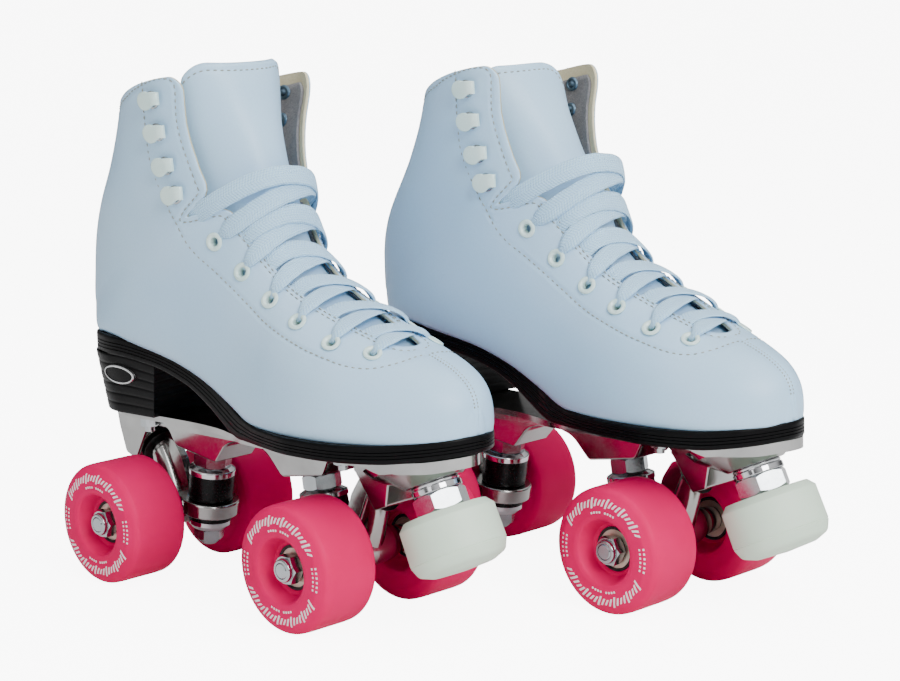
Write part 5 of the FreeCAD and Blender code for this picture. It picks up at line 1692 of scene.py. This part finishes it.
# ------------------------------------------------------------------ metalwork kept from the CAD
CAD_MATERIALS = {
    "plate": "plate", "plate_bolts": "zinc", "kingpins": "zinc", "plate_nuts": "zinc",
    "cup_washers": "chrome", "pivot_cups": "cup", "front_hanger": "hanger",
    "rear_hanger": "hanger", "front_axle": "zinc", "rear_axle": "zinc",
    "toe_stop_stem": "zinc"}
for node_name, cad_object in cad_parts.items():
    piece_name = node_name.split("_", 1)[1]
    material_key = CAD_MATERIALS.get(piece_name)
    if piece_name.endswith("bearings"):
        material_key = "nickel"
    if material_key:
        cad_object.data.materials.clear()
        cad_object.data.materials.append(MATERIALS[material_key])

# ------------------------------------------------------------------ floor, world, lights
BACKDROP = 9.0     # how bright the floor and the world look to the camera
AMBIENT = 1.0      # strength of the light from the world


def floor_material():
    n = Shader("floor_paper")
    color = n.mix(n.remap(n.noise(scale=3, detail=3), span=(.3, .7)),
                  srgb(244, 244, 244), srgb(248, 248, 248))
    n.finish(color=color, rough=.9, spec=.1)
    glow = n.node("ShaderNodeEmission")
    both = n.node("ShaderNodeAddShader")
    path = n.node("ShaderNodeLightPath")
    n.link(n.math("MULTIPLY", path.outputs["Is Camera Ray"], BACKDROP - 1.0), glow.inputs[1])
    n.link(n.surface.outputs[0], both.inputs[0])
    n.link(glow.outputs[0], both.inputs[1])
    n.link(both.outputs[0], n.output.inputs[0])
    return n.material


def make_floor():
    half, z = 30, -.0002
    material = floor_material()
    mesh = bpy.data.meshes.new("floor")
    corners = [(-half, -half, z), (half, -half, z), (half, half, z), (-half, half, z)]
    mesh.from_pydata(corners, [], [(0, 1, 2, 3)])
    mesh.materials.append(material)
    floor = bpy.data.objects.new("floor", mesh)
    bpy.context.scene.collection.objects.link(floor)


def make_world(scene):
    """Plain bright to the camera; to the scene, a room banded by height."""
    if scene.world is None:
        scene.world = bpy.data.worlds.new("studio")
    scene.world.use_nodes = True
    nodes, link = scene.world.node_tree.nodes, scene.world.node_tree.links.new
    nodes.clear()
    output = nodes.new("ShaderNodeOutputWorld")
    seen = nodes.new("ShaderNodeBackground")
    lit = nodes.new("ShaderNodeBackground")
    path = nodes.new("ShaderNodeLightPath")
    choose = nodes.new("ShaderNodeMixShader")
    seen.inputs[0].default_value = (1, 1, 1, 1)
    seen.inputs[1].default_value = BACKDROP
    coord = nodes.new("ShaderNodeTexCoord")
    split = nodes.new("ShaderNodeSeparateXYZ")
    link(coord.outputs["Generated"], split.inputs[0])
    ramp = nodes.new("ShaderNodeValToRGB")
    height = nodes.new("ShaderNodeMapRange")
    link(split.outputs[2], height.inputs[0])
    height.inputs[1].default_value = -1.0
    height.inputs[2].default_value = 1.0
    link(height.outputs[0], ramp.inputs[0])
    stops = ramp.color_ramp.elements
    stops[0].position, stops[0].color = 0.0, (.55, .55, .55, 1)
    stops[1].position, stops[1].color = 1.0, (1.25, 1.25, 1.25, 1)
    for position, value in ((.47, .50), (.53, .16), (.60, .22), (.68, .85), (.78, 1.0)):
        stops.new(position).color = (value, value, value, 1)
    # the room is darker towards -X
    sideways = nodes.new("ShaderNodeMath")
    sideways.operation = "MULTIPLY_ADD"
    link(split.outputs[0], sideways.inputs[0])
    sideways.inputs[1].default_value = .30
    sideways.inputs[2].default_value = .72
    strength = nodes.new("ShaderNodeMath")
    strength.operation = "MULTIPLY"
    link(sideways.outputs[0], strength.inputs[0])
    strength.inputs[1].default_value = AMBIENT
    link(ramp.outputs[0], lit.inputs[0])
    link(strength.outputs[0], lit.inputs[1])
    link(path.outputs["Is Camera Ray"], choose.inputs[0])
    link(lit.outputs[0], choose.inputs[1])
    link(seen.outputs[0], choose.inputs[2])
    link(choose.outputs[0], output.inputs[0])


def add_area_light(scene, name, location, target, size, power):
    light = bpy.data.lights.new(name, "AREA")
    light.shape = "RECTANGLE"
    light.size = light.size_y = size
    light.energy = power
    obj = bpy.data.objects.new(name, light)
    obj.location = location
    aim = Vector(target) - Vector(location)
    obj.rotation_euler = aim.to_track_quat("-Z", "Y").to_euler()
    scene.collection.objects.link(obj)


def make_camera(scene):
    heading, pitch, roll = (math.radians(a) for a in (44.473, 9.786, -1.642))
    location = (.7796, -.7886, .3147)
    level = np.array([math.cos(heading), math.sin(heading), 0])
    view = np.array([-math.sin(heading) * math.cos(pitch),
                     math.cos(heading) * math.cos(pitch), -math.sin(pitch)])
    upright = np.cross(level, view)
    c, s = math.cos(roll), math.sin(roll)
    axes = (c * level + s * upright, -s * level + c * upright, -view)
    camera = bpy.data.cameras.new("camera")
    camera.sensor_width = 36.0
    camera.lens = 91.19
    camera.clip_start, camera.clip_end = .05, 100
    obj = bpy.data.objects.new("camera", camera)
    rows = [[axis[k] for axis in axes] + [location[k]] for k in range(3)]
    obj.matrix_world = Matrix(rows + [[0, 0, 0, 1]])
    scene.collection.objects.link(obj)
    scene.camera = obj


main_scene = bpy.context.scene
make_floor()
make_world(main_scene)
add_area_light(main_scene, "key_soft", (1.7, -.5, 1.15), (0, 0, .1), size=1.0, power=38)
add_area_light(main_scene, "top_soft", (.3, .3, 1.9), (0, 0, .1), size=1.4, power=14)
add_area_light(main_scene, "side_fill", (.3, -1.9, .7), (0, 0, .12), size=.8, power=4)
make_camera(main_scene)
